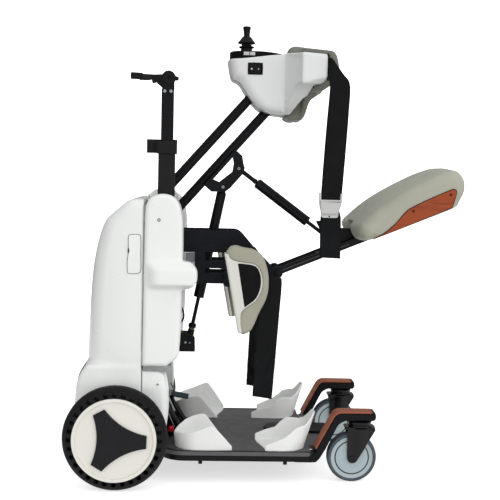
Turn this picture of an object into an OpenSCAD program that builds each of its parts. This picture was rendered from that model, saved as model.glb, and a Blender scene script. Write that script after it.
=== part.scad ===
// Standing wheelchair: powered stand-aid base with a parallelogram lift arm,
// chest console, knee supports, split seat and foot cups.
// Frame: +X towards the boarding end (castors), +Y to the user's right, +Z up,
// origin on the floor under the middle of the overall box. Units: mm.

/* [Drive wheels] */
// outside diameter of the drive tyre
wheel_d = 254; // [248:1:256]
// width of the drive tyre
tyre_w = 56; // [56:1:66]
// radius of the pale wheel disc
disc_r = 101.8; // [98:0.2:103]
// number of relief holes round the tyre
tyre_holes = 32; // [30:1:36]
// diameter of a relief hole
hole_d = 12; // [8:0.5:12]
// distance from the centre plane to the wheel's outer face
wheel_face = 306; // [304:1:310]

/* [Castors] */
// outside diameter of the castor tyre
castor_d = 125; // [118:1:125]
// width of the castor tyre
castor_w = 30; // [26:1:32]
// distance from the centre plane to a castor arm's centre
castor_y = 185; // [183:1:188]
// horizontal offset of the castor axle from its swivel axis
castor_trail = 20; // [16:1:22]

/* [Footplate] */
// overall width of the footplate
plate_w = 456; // [448:1:460]
// height of the standing surface
plate_top = 82; // [82:1:83]
// distance from the centre plane to a foot's centre line
foot_y = 166; // [164:1:166]
// wall thickness of the foot cups
cup_wall = 4; // [3:0.5:5]

/* [Lift arm] */
// outside diameter of the lift tubes
tube_d = 25; // [22:1:26]
// diameter of the lift gas spring
spring_d = 25; // [22:1:26]
// diameter of the seat strut
strut_d = 27; // [24:1:28]
// radius of the pivot pins
pin_r = 6; // [5:0.5:6]

/* [Push handle mast] */
// width of the sliding inner mast
mast_w = 30; // [28:1:30]
// height of the mast's hub above the floor
mast_top = 1002; // [1000:1:1006]

/* [Seat] */
// half of the gap between the two seat pads
seat_gap = 50; // [50:1:54]
// outer face of a seat pad from the centre plane
seat_out = 181; // [176:1:183]

/* [Covers] */
// wall thickness of the plastic covers
cover_wall = 4; // [3:0.5:5]
// half width of the rear cover
rear_half = 205; // [200:1:208]
// outer face of the column covers from the centre plane
column_face = 218; // [214:1:220]

/* [Hidden] */
$fn = 64;
ref_x = 146.316;
wr = wheel_d / 2;
wx = -218;
cr = castor_d / 2;
cx = 371;
sx = cx + castor_trail;
fit = 0.05;
// link pivots in the column and in the console, side view
au = [-140.2, 696.4];
al = [-118, 636.7];
bl = [159.9, 952.7];
bu = [137.7, 1012.4];
// gusset pins, lower pin of the gas spring, seat pivot, strut pin on the seat
g1 = [75.2, 784.3];
g2 = [34.2, 735];
gb = [-47.2, 327.2];
sp = [180, 514];
st = [316.4, 607];
seat_a = 22.4;
tr = tube_d / 2;

// ---------------------------------------------------------------- helpers
module ref() { translate([-ref_x, 0, 0]) children(); }
module far() { mirror([0, 1, 0]) children(); }
module pair() { children(); mirror([0, 1, 0]) children(); }
// extrude a side-view outline from y0 to y1
module side(y0, y1) { translate([0, y1, 0]) rotate([90, 0, 0]) linear_extrude(y1 - y0) children(); }
// cylinder along Y
module ycyl(p, r, y0, y1) { translate([p[0], y1, p[1]]) rotate([90, 0, 0]) cylinder(h = y1 - y0, r = r); }
// cylinder between two side-view points
module bar(p, q, r, y = 0) {
  d = q - p;
  translate([p[0], y, p[1]]) rotate([0, atan2(d[0], d[1]), 0]) cylinder(h = norm(d), r = r);
}
module box(x0, x1, y0, y1, z0, z1) { translate([x0, y0, z0]) cube([x1 - x0, y1 - y0, z1 - z0]); }
// rounded rectangle from (x0,y0) to (x1,y1)
module rrect(x0, y0, x1, y1, r) {
  translate([x0 + r, y0]) square([x1 - x0 - 2 * r, y1 - y0]);
  translate([x0, y0 + r]) square([x1 - x0, y1 - y0 - 2 * r]);
  for (x = [x0 + r, x1 - r], y = [y0 + r, y1 - r]) translate([x, y]) circle(r);
}
function on(p, q, t) = p + (q - p) * t;
function unit(p, q) = (q - p) / norm(q - p);
function shrink(pts, c, kx, kz) = [for (p = pts) [c[0] + (p[0] - c[0]) * kx, c[1] + (p[1] - c[1]) * kz]];

// ---------------------------------------------------------------- chassis
module base_frame() ref() color([0.12, 0.13, 0.14]) {
  difference() {
    union() {
      pair() box(-262, 225, -182, -150, 54, plate_top - 10);
      box(-262, -226, -182, 182, 54, plate_top - 10);
      // floor pan and its skirt under the footplate
      translate([0, 0, plate_top - 16]) linear_extrude(6) plate_outline(0.5);
      translate([0, 0, 58]) linear_extrude(plate_top - 70) difference() { plate_outline(0.5); plate_outline(6.5); }
      pair() for (x = [-11, 201]) translate([x, -214.5, 48]) cylinder(h = plate_top - 63, r = 5);
      box(196, 225, -207, 207, 54, plate_top - 10);
      box(-158, -60, -182, 182, 54, plate_top - 10);
      // drive axle beam
      box(-244, -192, -196, 196, 102, 154);
      pair() box(-244, -192, -182, -150, 60, 110);
      // upright cheeks that carry the link pivots
      pair() box(-158, -114, -48, -40, 60, 300);
      pair() side(-48, -40) polygon([[-158, 292], [-158, 690], [-140, 722], [-98, 722], [-98, 292]]);
      box(-157, -150, -48, 48, 60, 655);
      box(-200, -150, -48, 48, 60, 150);
      // guide bars of the brake linkage
      pair() bar([-118, 182.2], [-57, 87], 3.5, -44);
    }
    ycyl(au, pin_r, -60, 60);
    ycyl(al, pin_r, -60, 60);
    pair() ycyl([wx, wr], 10, -200, -150);
    // room for the feet of the castor arms
    pair() box(225.5, 280, -castor_y - 22.5, -castor_y + 22.5, 40, plate_top - 9);
  }
}
module drive_axles() ref() color([0.6, 0.6, 0.62]) pair() {
  ycyl([wx, wr], 10, -300, -150);
  ycyl([wx, wr], 16, -232, -196);
}
module plate_outline(w) {
  h = plate_w / 2 - w;
  rrect(-112 + w, -h, 100, h, 62 - w);
  rrect(0, -h, 264 - w, h, 12 - w);
}
module footplate() ref() color([0.36, 0.36, 0.37])
{
  translate([0, 0, plate_top - 10]) linear_extrude(10) plate_outline(0);
  // shelf between the castor arms
  translate([0, 0, plate_top - 10]) linear_extrude(10) rrect(203, -160, 298, 160, 8);
  // tongue between the heel cups
  translate([0, 0, plate_top - 9]) linear_extrude(15) {
    translate([203, 0]) circle(44.5);
    rrect(203, -44.5, 332, 44.5, 12);
    translate([203, -44.5]) square([60, 89]);
  }
}
module toe_outline(w) {
  translate([-20, -foot_y]) circle(61 - w);
  translate([-20, -foot_y - 61 + w]) square([92, 122 - 2 * w]);
}
module toe_cup() {
  tp = [[-90, 82], [-90, 125], [-50, 126], [-28, 131], [-12, 137], [10, 145], [17, 146], [22, 142], [67, 93], [67, 82]];
  intersection() {
    difference() {
      translate([0, 0, plate_top]) linear_extrude(80) toe_outline(0);
      translate([0, 0, plate_top + 3]) linear_extrude(90) toe_outline(cup_wall);
      box(68, 90, -300, 0, 80, 200);
    }
    side(-foot_y - 70, -foot_y + 70) translate([0, plate_top - 82]) polygon(tp);
  }
}
module toe_cups() ref() color([0.93, 0.94, 0.93]) {
  toe_cup();
  // the right cup is set a little further forward
  far() translate([-15, 0, 0]) toe_cup();
}
module heel_outline(w) {
  translate([204, -foot_y]) circle(61 - w);
  translate([112, -foot_y - 61 + w]) square([92, 122 - 2 * w]);
}
module heel_cup() {
  hp = [[132, 82], [132, 96], [150, 99], [180, 114], [196, 132], [206, 141], [236, 143], [250, 147], [268, 152], [268, 82]];
  intersection() {
    difference() {
      translate([0, 0, plate_top]) linear_extrude(110) heel_outline(0);
      translate([0, 0, plate_top + 3]) linear_extrude(120) heel_outline(cup_wall);
    }
    union() {
      side(-foot_y - 70, -foot_y + 70) translate([0, plate_top - 82]) polygon(hp);
      box(244, 270, -foot_y - 22, -foot_y + 22, plate_top, plate_top + 86);
    }
    box(132, 270, -foot_y - 70, -foot_y + 70, plate_top, plate_top + 100);
  }
}
module heel_cups() ref() color([0.93, 0.94, 0.93]) pair() heel_cup();

arm_pts = [[226, 50], [276, 50], [284, 56], [303, 84], [330, 140], [338, 150], [352, 157], [424, 157], [428, 161], [428, 172], [424, 176], [336, 176], [328, 172], [322, 164], [280, 84], [274, 72], [226, 72]];
module castor_arm() difference() {
  side(-castor_y - 22, -castor_y + 22) polygon(arm_pts);
  translate([sx, -castor_y, 100]) cylinder(h = 68, r = 8);
}
module castor_arm_left() ref() color([0.12, 0.13, 0.14]) castor_arm();
module castor_arm_right() ref() color([0.12, 0.13, 0.14]) far() castor_arm();
module arm_trims() ref() color([0.58, 0.35, 0.25]) pair() side(-castor_y - 22, -castor_y + 22)
  polygon([[280, 84.1], [322, 164.1], [328, 172.1], [336, 176.1], [424, 176.1], [427, 177], [425, 180], [334, 180], [325, 176], [317.5, 166], [276, 86]]);

rear_pts = [[-162, 291], [-299, 291], [-297, 330], [-293, 390], [-288, 450], [-282, 510], [-275, 560], [-266, 610], [-256, 645], [-240, 670], [-219, 690], [-195, 702], [-162, 704]];
module rear_cover() ref() color([0.93, 0.94, 0.93]) difference() {
  side(-rear_half, rear_half) polygon(rear_pts);
  side(-rear_half + cover_wall, rear_half - cover_wall) polygon(concat([[-150, 280]],
    [for (i = [1:11]) [rear_pts[i][0] + cover_wall, rear_pts[i][1] - (i == 1 ? 11 : i > 7 ? cover_wall : 0)]],
    [[-162, 704 - cover_wall], [-150, 704 - cover_wall]]));
}
low_pts = [[-100, 101], [-98, 132], [-94, 168], [-94, 208], [-99, 250], [-106, 273], [-120, 283], [-160, 286], [-298, 287], [-311, 262], [-321, 235], [-324, 205], [-325, 180], [-325, 101]];
module lower_cover() ref() color([0.93, 0.94, 0.93]) difference() {
  side(-214, 214) polygon(low_pts);
  side(-214 + cover_wall, 214 - cover_wall)
    polygon(shrink(low_pts, [-210, 80], 0.965, 0.981));
  // room for the uprights, the axles and the guide bars
  box(-176, -106, -60, 60, 200, 300);
  pair() ycyl([wx, wr], 20, -240, -190);
  pair() box(-110, -80, -50, -38, 100, 184);
}
module tail_panel() ref() color([0.1, 0.1, 0.11]) side(-120, 120)
  polygon([[-324.2, 210], [-321.2, 236], [-311.4, 262.4], [-300, 285.5], [-306, 285], [-319, 268], [-331, 250], [-340, 232], [-341, 218], [-336, 210]]);

core_pts = [[-157, 290], [-157, 700], [-153, 714], [-144, 724], [-132, 729], [-104, 729], [-91, 724], [-80, 710], [-73, 690], [-70, 650], [-70, 290]];
module column_core() ref() color([0.9, 0.91, 0.9]) pair() difference() {
  side(-128, -58) polygon(core_pts);
  side(-124, -62) polygon(shrink(core_pts, [-113, 270], 0.91, 0.99));
}
col_pts = [[-160, 290], [-159, 480], [-157, 680], [-154, 694], [-147, 705], [-136, 713], [-122, 717], [-108, 717], [-95, 714], [-82, 705], [-73, 690], [-67, 665], [-64, 640], [-63, 557], [-64, 480], [-65, 405], [-70, 318], [-76, 309], [-101, 290]];
module column_cover(hole) difference() {
  union() {
    side(-column_face, -130) polygon(col_pts);
    side(-240, -column_face + 14) rrect(-142, 484, -27, 553, 30);
  }
  side(-column_face + cover_wall, -120) polygon(shrink(col_pts, [-112, 500], 0.915, 0.981));
  if (hole) translate([mast_c[0], mast_c[1], 600]) linear_extrude(200) square([mast_w + 14, mast_w + 14], center = true);
}
module column_cover_left() ref() color([0.93, 0.94, 0.93]) column_cover(true);
module column_cover_right() ref() color([0.93, 0.94, 0.93]) far() column_cover(false);

module seat_support_fork() ref() color([0.12, 0.13, 0.14]) difference() {
  union() {
    pair() side(-56, -48) {
      polygon([[-152, 564], [-152, 622], [70, 622], [80, 619], [89, 612], [130, 565], [193, 502], [169, 501], [118, 552], [100, 562], [84, 564]]);
      translate(sp) circle(16);
      // hanger and bars that hold the knee supports
      polygon([[-36, 566], [-8, 566], [-8, 543], [44, 543], [44, 522], [-8, 522], [-8, 510], [62, 510], [62, 482], [-36, 482]]);
    }
    ycyl([76, 592], 9, -50, 50);
    ycyl([50, 496], 12, -148, 148);
  }
  ycyl(sp, pin_r, -60, 60);
}
module knee_shell() {
  side(-200, -196) polygon([[43, 566], [66, 552], [96, 549], [122, 543], [132, 531], [136, 510], [134, 488], [120, 458], [92, 437], [84, 420], [81, 374], [76, 374], [70, 420]]);
  side(-196.5, -138) polygon([[42, 570], [50, 570], [86, 380], [78, 374]]);
}
module knee_cut() difference() { children(); ycyl([50, 496], 12, -148, 148); }
// the right pad is set a little further forward and lower
module knee_pair() { children(); far() translate([-17, 0, -9]) children(); }
module knee_shells() ref() color([0.93, 0.94, 0.93]) knee_cut() knee_pair() knee_shell();
module knee_cushion() {
  side(-195.8, -140) polygon([[51, 571], [66, 588], [90, 583], [110, 580], [110, 440], [104, 400], [92, 371], [87.4, 381]]);
  side(-195.8, -176) polygon([[100, 580], [132, 568], [145, 550], [151, 508], [150, 471], [143, 436], [127, 397], [112, 375], [92, 371]]);
}
module knee_cushions() ref() color([0.62, 0.62, 0.54]) knee_cut() knee_pair() knee_cushion();
module calf_strap(end) side(-175.9, -173)
  polygon(concat([[185, 503]], end, [[123.8, 386], [128, 490], [134, 506], [146, 514], [172, 514], [181, 511]]));
module calf_straps() ref() color([0.11, 0.11, 0.13]) {
  calf_strap([[166.3, 204], [117.5, 211]]);
  far() calf_strap([[163.4, 157], [115.8, 164]]);
}
mast_c = [-108.5, -165];
module mast_sq(w, r) translate(mast_c) rrect(-w / 2, -w / 2, w / 2, w / 2, r);
module mast_outer_tube() ref() color([0.13, 0.13, 0.14]) difference() {
  translate([0, 0, 520]) linear_extrude(296) mast_sq(mast_w + 11, 4);
  translate([0, 0, 512]) linear_extrude(330) mast_sq(mast_w + 0.1, 3);
}
module mast_collar() ref() color([0.16, 0.16, 0.17]) difference() {
  union() {
    translate([0, 0, 816.05]) linear_extrude(31) mast_sq(mast_w + 19, 4);
    box(-160, -128, -142, -118, 818, 850);
    box(-160, -84, -142, -134, 846, 852);
  }
  translate([0, 0, 800]) linear_extrude(60) mast_sq(mast_w + 0.1, 3);
}
module battery_pack() ref() color([0.2, 0.22, 0.26]) box(-272, -205, -140, 140, 320, 480);
module motor_controller() ref() color([0.3, 0.32, 0.34]) box(-262, -206, -80, 80, 500, 590);
module spring_bracket() ref() color([0.1, 0.1, 0.11]) difference() {
  union() {
    box(-98, -74, -48, 48, 292, 356);
    pair() side(-16, -9) polygon([[-75, 293], [-75, 345], [-55, 345], [-40, 340], [-33, 325], [-32, 293]]);
  }
  ycyl(gb, pin_r, -30, 30);
}
cable = [[-78, 358.6], [-74, 368], [-66, 380], [-62, 391], [-64, 404], [-71, 420], [-83, 438], [-94, 451]];
module release_cable() ref() color([0.08, 0.08, 0.09]) {
  for (i = [1:6]) translate([cable[i][0], -44, cable[i][1]]) sphere(2.6, $fn = 32);
  for (i = [0:6]) bar(cable[i], cable[i + 1], 2.4, -44);
  translate([cable[0][0], -44, 356]) cylinder(h = 8, r = 4);
}
module pivot_pins() ref() color([0.6, 0.6, 0.62]) {
  ycyl(au, pin_r, -48, 48);
  ycyl(al, pin_r, -48, 48);
  ycyl(sp, pin_r, -60, 60);
  ycyl(gb, pin_r, -18, 18);
}

// ---------------------------------------------------------------- wheels
module drive_tyre() difference() {
  translate([wx, -wheel_face + 4 + tyre_w, wr]) rotate([90, 0, 0]) rotate_extrude($fn = 96) {
    rr = 22;
    translate([74, 0]) square([wr - 74 - rr, tyre_w]);
    translate([74, rr]) square([wr - 74, tyre_w - 2 * rr]);
    for (y = [rr, tyre_w - rr]) translate([wr - rr, y]) circle(rr, $fn = 32);
  }
  for (i = [0:tyre_holes - 1])
    translate([wx + 109 * cos(i * 360 / tyre_holes), -wheel_face + 5 + tyre_w, wr + 109 * sin(i * 360 / tyre_holes)])
      rotate([90, 0, 0]) cylinder(h = tyre_w + 2, d = hole_d, $fn = 24);
  // seat for the disc's flange
  ycyl([wx, wr], disc_r + 0.1, -wheel_face - 1, -wheel_face + 16.1);
  ycyl([wx, wr], disc_r - 10, -wheel_face + 4 + tyre_w - 18, -wheel_face + 5 + tyre_w);
}
module drive_tyre_left() ref() color([0.09, 0.09, 0.1]) drive_tyre();
module drive_tyre_right() ref() color([0.09, 0.09, 0.1]) far() drive_tyre();
module wheel_disc() difference() {
  union() {
    ycyl([wx, wr], disc_r, -wheel_face + 5, -wheel_face + 16);
    difference() {
      ycyl([wx, wr], disc_r, -wheel_face, -wheel_face + 6);
      ycyl([wx, wr], disc_r - 8, -wheel_face - 1, -wheel_face + 5.5);
    }
    ycyl([wx, wr], 73.9, -wheel_face + 15, -wheel_face + 60);
  }
  ycyl([wx, wr], 10 + fit, -wheel_face + 5.9, -wheel_face + 80);
  ycyl([wx, wr], 60, -wheel_face + 30, -wheel_face + 80);
}
module wheel_disc_left() ref() color([0.9, 0.89, 0.86]) wheel_disc();
module wheel_disc_right() ref() color([0.9, 0.89, 0.86]) far() wheel_disc();
module wheel_cap() translate([wx, -wheel_face + 5, wr]) rotate([90, 0, 0]) linear_extrude(6) difference() {
  polygon([for (a = [-2, 118, 238], s = [-1, 1]) [78 * cos(a) - 16.5 * s * sin(a), 78 * sin(a) + 16.5 * s * cos(a)]]);
  // hollow sides between the three arms
  for (a = [58, 178, 298]) rotate(a) translate([204, 0]) circle(163, $fn = 192);
}
module wheel_cap_left() ref() color([0.12, 0.12, 0.13]) wheel_cap();
module wheel_cap_right() ref() color([0.12, 0.12, 0.13]) far() wheel_cap();

// ---------------------------------------------------------------- castors
module castor_fork() difference() {
  union() {
    translate([sx, -castor_y, 137]) linear_extrude(4) rrect(-40, -22, 40, 22, 10);
    translate([sx, -castor_y, 141]) cylinder(h = 15.7, r = 24);
    translate([sx, -castor_y, 150]) cylinder(h = 17, r = 8 - fit);
    for (s = [-1, 1]) side(-castor_y + s * 20 - 2, -castor_y + s * 20 + 2) {
      polygon([[cx - 13, 138], [cx + 56, 138], [cx + 56, 130], [cx + 12, 56], [cx - 13, 60]]);
      translate([cx, cr]) circle(13);
    }
    ycyl([cx, cr], 5, -castor_y - 24, -castor_y + 24);
  }
}
module castor_fork_left() ref() color([0.25, 0.26, 0.28]) castor_fork();
module castor_fork_right() ref() color([0.25, 0.26, 0.28]) far() castor_fork();
module castor_wheel() difference() {
  union() {
    translate([cx, -castor_y, cr]) rotate([90, 0, 0]) rotate_extrude($fn = 96) {
      h = castor_w / 2;
      translate([5 + fit, -h + 1]) square([44, castor_w - 2]);
      translate([48, -h]) square([cr - 48 - 6, castor_w]);
      translate([48, -h + 6]) square([cr - 48, castor_w - 12]);
      for (s = [-1, 1]) translate([cr - 6, s * (h - 6)]) circle(6, $fn = 32);
      translate([5 + fit, -h - 2]) square([9, castor_w + 4]);
    }
  }
  for (s = [-1, 1]) translate([cx, -castor_y + s * (castor_w / 2 - 1), cr]) rotate([90, 0, 0])
    difference() { cylinder(h = 6, r = 44, center = true); cylinder(h = 8, r = 40, center = true); }
}
module castor_wheel_left() ref() color([0.55, 0.58, 0.61]) castor_wheel();
module castor_wheel_right() ref() color([0.55, 0.58, 0.61]) far() castor_wheel();

// ---------------------------------------------------------------- mast and handle
module mast_inner_tube() ref() color([0.1, 0.1, 0.11]) {
  difference() {
    translate([0, 0, 620]) linear_extrude(mast_top - 27 - 620) mast_sq(mast_w, 3);
    translate([0, 0, 600]) linear_extrude(mast_top - 38 - 600) mast_sq(mast_w - 5, 2);
  }
  // hub cheeks and their pin
  for (s = [-1, 1]) side(-165 + s * 12 - 3, -165 + s * 12 + 3) {
    translate([-106.5, mast_top]) circle(16);
    translate([-122, mast_top - 30]) square([29, 30]);
  }
  ycyl([-106.5, mast_top], 3, -180, -150);
}
module push_handle() ref() color([0.09, 0.09, 0.1]) difference() {
  union() {
    ycyl([-106.5, mast_top], 14, -173.5, -156.5);
    bar([-106.5, mast_top + 1], [-200, mast_top + 4], 6, -165);
    bar([-172, mast_top + 3], [-200, mast_top + 4], 8.5, -165);
    side(-171, -159) polygon([[-118, mast_top - 8], [-150, mast_top - 2], [-150, mast_top + 7], [-118, mast_top + 9]]);
    side(-171, -159) polygon([[-97, mast_top - 6], [-83, mast_top - 5], [-82, mast_top + 2], [-96, mast_top + 8]]);
  }
  ycyl([-106.5, mast_top], 3 + fit, -200, -130);
}

// ---------------------------------------------------------------- lift arm
module lower_link() ref() color([0.12, 0.13, 0.14]) difference() {
  union() {
    bar(al, bl, tr);
    ycyl(al, 17, -16, 16);
    ycyl(bl, 17, -16, 16);
    // gusset plates under the tube
    pair() side(-19.5, -13.5) difference() {
      polygon([[70.8, 829.7], [83.8, 818], [88, 794.6], [91.2, 786.5], [84, 768], [54, 733], [40, 722], [3.6, 722], [-14, 737], [-12, 745], [62, 832]]);
      polygon([[59, 814], [62, 797.5], [58.4, 776], [24, 748], [8, 755]]);
    }
    side(-19.5, 19.5) polygon([[-12, 745], [62, 832], [68, 827], [-5, 741]]);
  }
  ycyl(al, pin_r + fit, -30, 30);
  ycyl(bl, pin_r + fit, -30, 30);
  ycyl(g1, 5, -30, 30);
  ycyl(g2, 5, -30, 30);
}
module gusset_pins() ref() color([0.6, 0.6, 0.62]) { ycyl(g1, 5, -22, 22); ycyl(g2, 5, -22, 22); }
module upper_link() ref() color([0.12, 0.13, 0.14]) difference() {
  union() {
    bar(au, bu, tr);
    ycyl(au, 16, -16, 16);
    ycyl(bu, 16, -16, 16);
  }
  ycyl(au, pin_r + fit, -30, 30);
  // clearance at the pivot where the loop is left open
  ycyl(bu, pin_r + 0.4, -30, 30);
}

// ---------------------------------------------------------------- console
pod_pts = [[42, 1068], [45, 1040], [51, 1025], [62, 1019], [72, 1014], [94, 982], [113, 957], [132, 941], [150, 933], [206, 931], [214, 950], [224, 1000], [224, 1064], [200, 1070]];
module console_shell() ref() color([0.93, 0.94, 0.93]) difference() {
  union() {
    side(-78, 78) polygon(pod_pts);
    // flare to the wide back that carries the chest pad
    translate([0, 0, 1000]) linear_extrude(66) polygon(concat(
      [[178, -78], [205, -100], [219, -150], [222, -188], [226, -190], [283, -190], [283, -184], [262, -160], [240, -120], [226, -70], [222, 0]],
      [[226, 70], [240, 120], [262, 160], [283, 184], [283, 190], [226, 190], [222, 188], [219, 150], [205, 100], [178, 78]]));
  }
  // central well for the lift tubes
  side(-24, 24) polygon([[30, 1000], [60, 1030], [104, 1048], [170, 1048], [196, 990], [196, 900], [60, 900]]);
  side(-70, -30) polygon([[60, 1060], [62, 1030], [80, 1020], [120, 962], [152, 941], [200, 939], [214, 1000], [214, 1056]]);
  side(30, 70) polygon([[60, 1060], [62, 1030], [80, 1020], [120, 962], [152, 941], [200, 939], [214, 1000], [214, 1056]]);
  ycyl(bl, pin_r, -29, 29);
  ycyl(bu, pin_r, -29, 29);
  // belt slots
  pair() box(277, 281, -200, -176, 1004, 1062);
  // panel recess
  translate([0, 0, 1060]) linear_extrude(30) panel_outline();
  // joystick well
  translate([89, 0, 1046]) cylinder(h = 30, r = 26);
}
module console_pins() ref() color([0.6, 0.6, 0.62]) { ycyl(bl, pin_r, -29, 29); ycyl(bu, pin_r, -29, 29); }
module panel_outline() {
  translate([106, 0]) circle(60);
  polygon([[106, -60], [150, -48], [182, -10], [182, 10], [150, 48], [106, 60]]);
}
module console_panel() ref() color([0.05, 0.05, 0.06]) difference() {
  translate([0, 0, 1060.05]) linear_extrude(26) intersection() { panel_outline(); translate([48, -70]) square([140, 140]); }
  translate([89, 0, 1040]) cylinder(h = 60, r = 25);
}
module chest_pad() ref() color([0.62, 0.62, 0.54]) difference() {
  union() {
    translate([0, 0, 985]) linear_extrude(98) polygon(concat(
      [[223, 0], [227, -70], [241, -120], [263, -160], [284, -184], [284, -192], [300, -190], [308, -178]],
      [[284, -142], [266, -100], [258, -50], [256, 0], [258, 50], [266, 100], [284, 142], [308, 178], [300, 190], [284, 192], [284, 184], [263, 160], [241, 120], [227, 70]]));
    side(-64, 64) polygon([[226, 990], [222, 962], [207.2, 930.5], [192, 928], [200, 920], [220, 916], [240, 923], [250, 936], [256, 960], [256, 990]]);
  }
  side(-80, 80) polygon(concat([for (p = pod_pts) p + [0.4, -0.4]], [[100, 1070]]));
}
module hip_belt() ref() color([0.11, 0.11, 0.13]) {
  side(-203, -200.5) polygon([[280, 1046], [292, 1050], [338, 992], [339, 970], [325, 722], [272, 720], [288, 981], [284, 1004]]);
  side(-203, -200.5) polygon([[272, 664], [326, 664], [329, 566], [275, 570]]);
  box(278, 280, -201, -187, 1006, 1046);
}
module belt_buckle() ref() color([0.78, 0.79, 0.78]) difference() {
  side(-207, -197) rrect(268, 656, 328, 727, 4);
  side(-204, -200) translate([270, 640]) square([56, 100]);
}
// gimbal ring under the boot and the stick with its bell
jx = [89, 1066];
module joystick_gimbal() ref() color([0.2, 0.2, 0.21]) difference() {
  ycyl(jx, 16, -9, 9);
  ycyl(jx, 11, -8, 20);
  translate([jx[0], 0, jx[1]]) rotate([0, 90, 0]) cylinder(h = 50, r = 2, center = true);
  box(60, 120, -20, 20, jx[1] + 6, jx[1] + 20);
}
module joystick_stick() ref() color([0.06, 0.06, 0.07]) difference() {
  union() {
    translate([jx[0], 0, jx[1] - 5]) cylinder(h = 36, r = 5);
    translate([jx[0], 0, 1096]) cylinder(h = 8, r1 = 17, r2 = 15);
    translate([jx[0], 0, 1104]) cylinder(h = 3, r = 19);
    translate([jx[0], 0, 1107]) cylinder(h = 6, r = 13);
    translate([jx[0], 0, 1113]) cylinder(h = 3, r = 23);
    translate([jx[0], 0, 1116]) cylinder(h = 17, r1 = 22, r2 = 8);
    translate([jx[0], 0, 1132]) cylinder(h = 24, r1 = 7, r2 = 10);
  }
}

// ---------------------------------------------------------------- gas springs
lift_u = unit(gb, g2);
lift_n = norm(g2 - gb);
module lift_rod() ref() color([0.1, 0.1, 0.11]) difference() {
  union() {
    ycyl(gb, 9, -8.5, 8.5);
    bar(gb, on(gb, g2, 24 / lift_n), 9);
    bar(on(gb, g2, 20 / lift_n), on(gb, g2, 270 / lift_n), 5);
  }
  ycyl(gb, pin_r + fit, -30, 30);
}
module lift_cylinder() ref() color([0.1, 0.1, 0.11]) difference() {
  union() {
    bar(on(gb, g2, 118 / lift_n), on(gb, g2, (lift_n - 22) / lift_n), spring_d / 2);
    bar(on(gb, g2, 114 / lift_n), on(gb, g2, 180 / lift_n), 14);
    bar(on(gb, g2, (lift_n - 24) / lift_n), g2, 6);
    ycyl(g2, 12, -8, 8);
  }
  bar(on(gb, g2, 100 / lift_n), on(gb, g2, (lift_n - 40) / lift_n), 5.05);
  // open pivot: clearance round the gusset pin
  ycyl(g2, 8.5, -30, 30);
}
strut_n = norm(st - g1);
module seat_strut_cylinder() ref() color([0.1, 0.1, 0.11]) difference() {
  union() {
    ycyl(g1, 9, -8, 8);
    bar(g1, on(g1, st, 66 / strut_n), 5);
    bar(on(g1, st, 62 / strut_n), on(g1, st, 232 / strut_n), strut_d / 2);
  }
  ycyl(g1, 5.05, -30, 30);
  bar(on(g1, st, 70 / strut_n), on(g1, st, 240 / strut_n), 5.05);
}
module seat_strut_rod() ref() color([0.75, 0.76, 0.76]) difference() {
  union() {
    bar(on(g1, st, 130 / strut_n), st, 5);
    ycyl(st, 12.5, -6, 6);
  }
  // open pivot: clearance round the seat pin
  ycyl(st, 9, -30, 30);
}

// ---------------------------------------------------------------- seat
module seat_plane() translate([sp[0], 0, sp[1]]) rotate([0, -seat_a, 0]) children();
module seat_frame() ref() color([0.12, 0.13, 0.14]) {
  difference() {
    union() {
      pair() side(-47.6, -40) {
        translate(sp) circle(13);
        translate(sp) rotate(seat_a) translate([0, -9]) square([430, 18]);
      }
      seat_plane() {
        box(118, 128, -47.6, 47.6, -6, 5);
        box(222, 234, -47.6, 47.6, -6, 5);
        box(412, 424, -47.6, 47.6, -6, 5);
        // ears that take the seat strut
        pair() side(-22, -15) polygon([[150, -6], [152, 62], [150, 84], [176, 76], [204, 43], [237, 29], [237, -6]]);
      }
    }
    ycyl(sp, pin_r + fit, -70, 70);
  }
  ycyl(st, 4.5, -24, 24);
}
pad_pts = [[211, 38], [213, 20], [222, 6], [236, 3], [462, 4], [486, 11.5], [506, 30], [516, 51], [515, 71.5], [508, 88], [496, 94], [470, 95], [435, 93], [383, 88], [330, 79], [285, 68], [250, 58], [222, 48]];
pad_top = concat([[228, 50.2], [515.6, 50.2]], [for (i = [8:16]) pad_pts[i]]);
module seat_pad() seat_plane() {
  side(-seat_out, -seat_gap) polygon(pad_pts);
  // upper part that reaches in over the seat frame
  side(-seat_gap - 0.5, -7) polygon(pad_top);
}
module seat_pad_left() ref() color([0.69, 0.7, 0.63]) seat_pad();
module seat_pad_right() ref() color([0.69, 0.7, 0.63]) far() seat_pad();
module seat_panel() side(-seat_out - 3.1, -seat_out - 0.1) polygon([[407, 610], [603, 695], [617, 735], [611, 745], [599, 740], [524, 708], [495, 693], [480, 677], [458, 649], [437, 629]]);
module seat_panel_left() ref() color([0.67, 0.34, 0.18]) seat_panel();
module seat_panel_right() ref() color([0.67, 0.34, 0.18]) far() seat_panel();

// ---------------------------------------------------------------- pedal, lever and flap
module brake_pedal() ref() color([0.2, 0.26, 0.28]) {
  bar([-84, 190.8], [-47, 184], 7.4, -72);
  bar([-90.2, 192], [-83, 190.6], 5, -72);
}
module clutch_lever() ref() color([0.78, 0.04, 0.14]) {
  translate([-89.5, -100, plate_top + 2]) cylinder(h = 16, r = 4);
  translate([-89.5, -100, plate_top + 16]) cylinder(h = 14, r = 7.6);
}
module charge_flap() ref() color([0.92, 0.93, 0.92]) side(-207.8, -205.4) rrect(-199, 521, -167, 615, 4);

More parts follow.
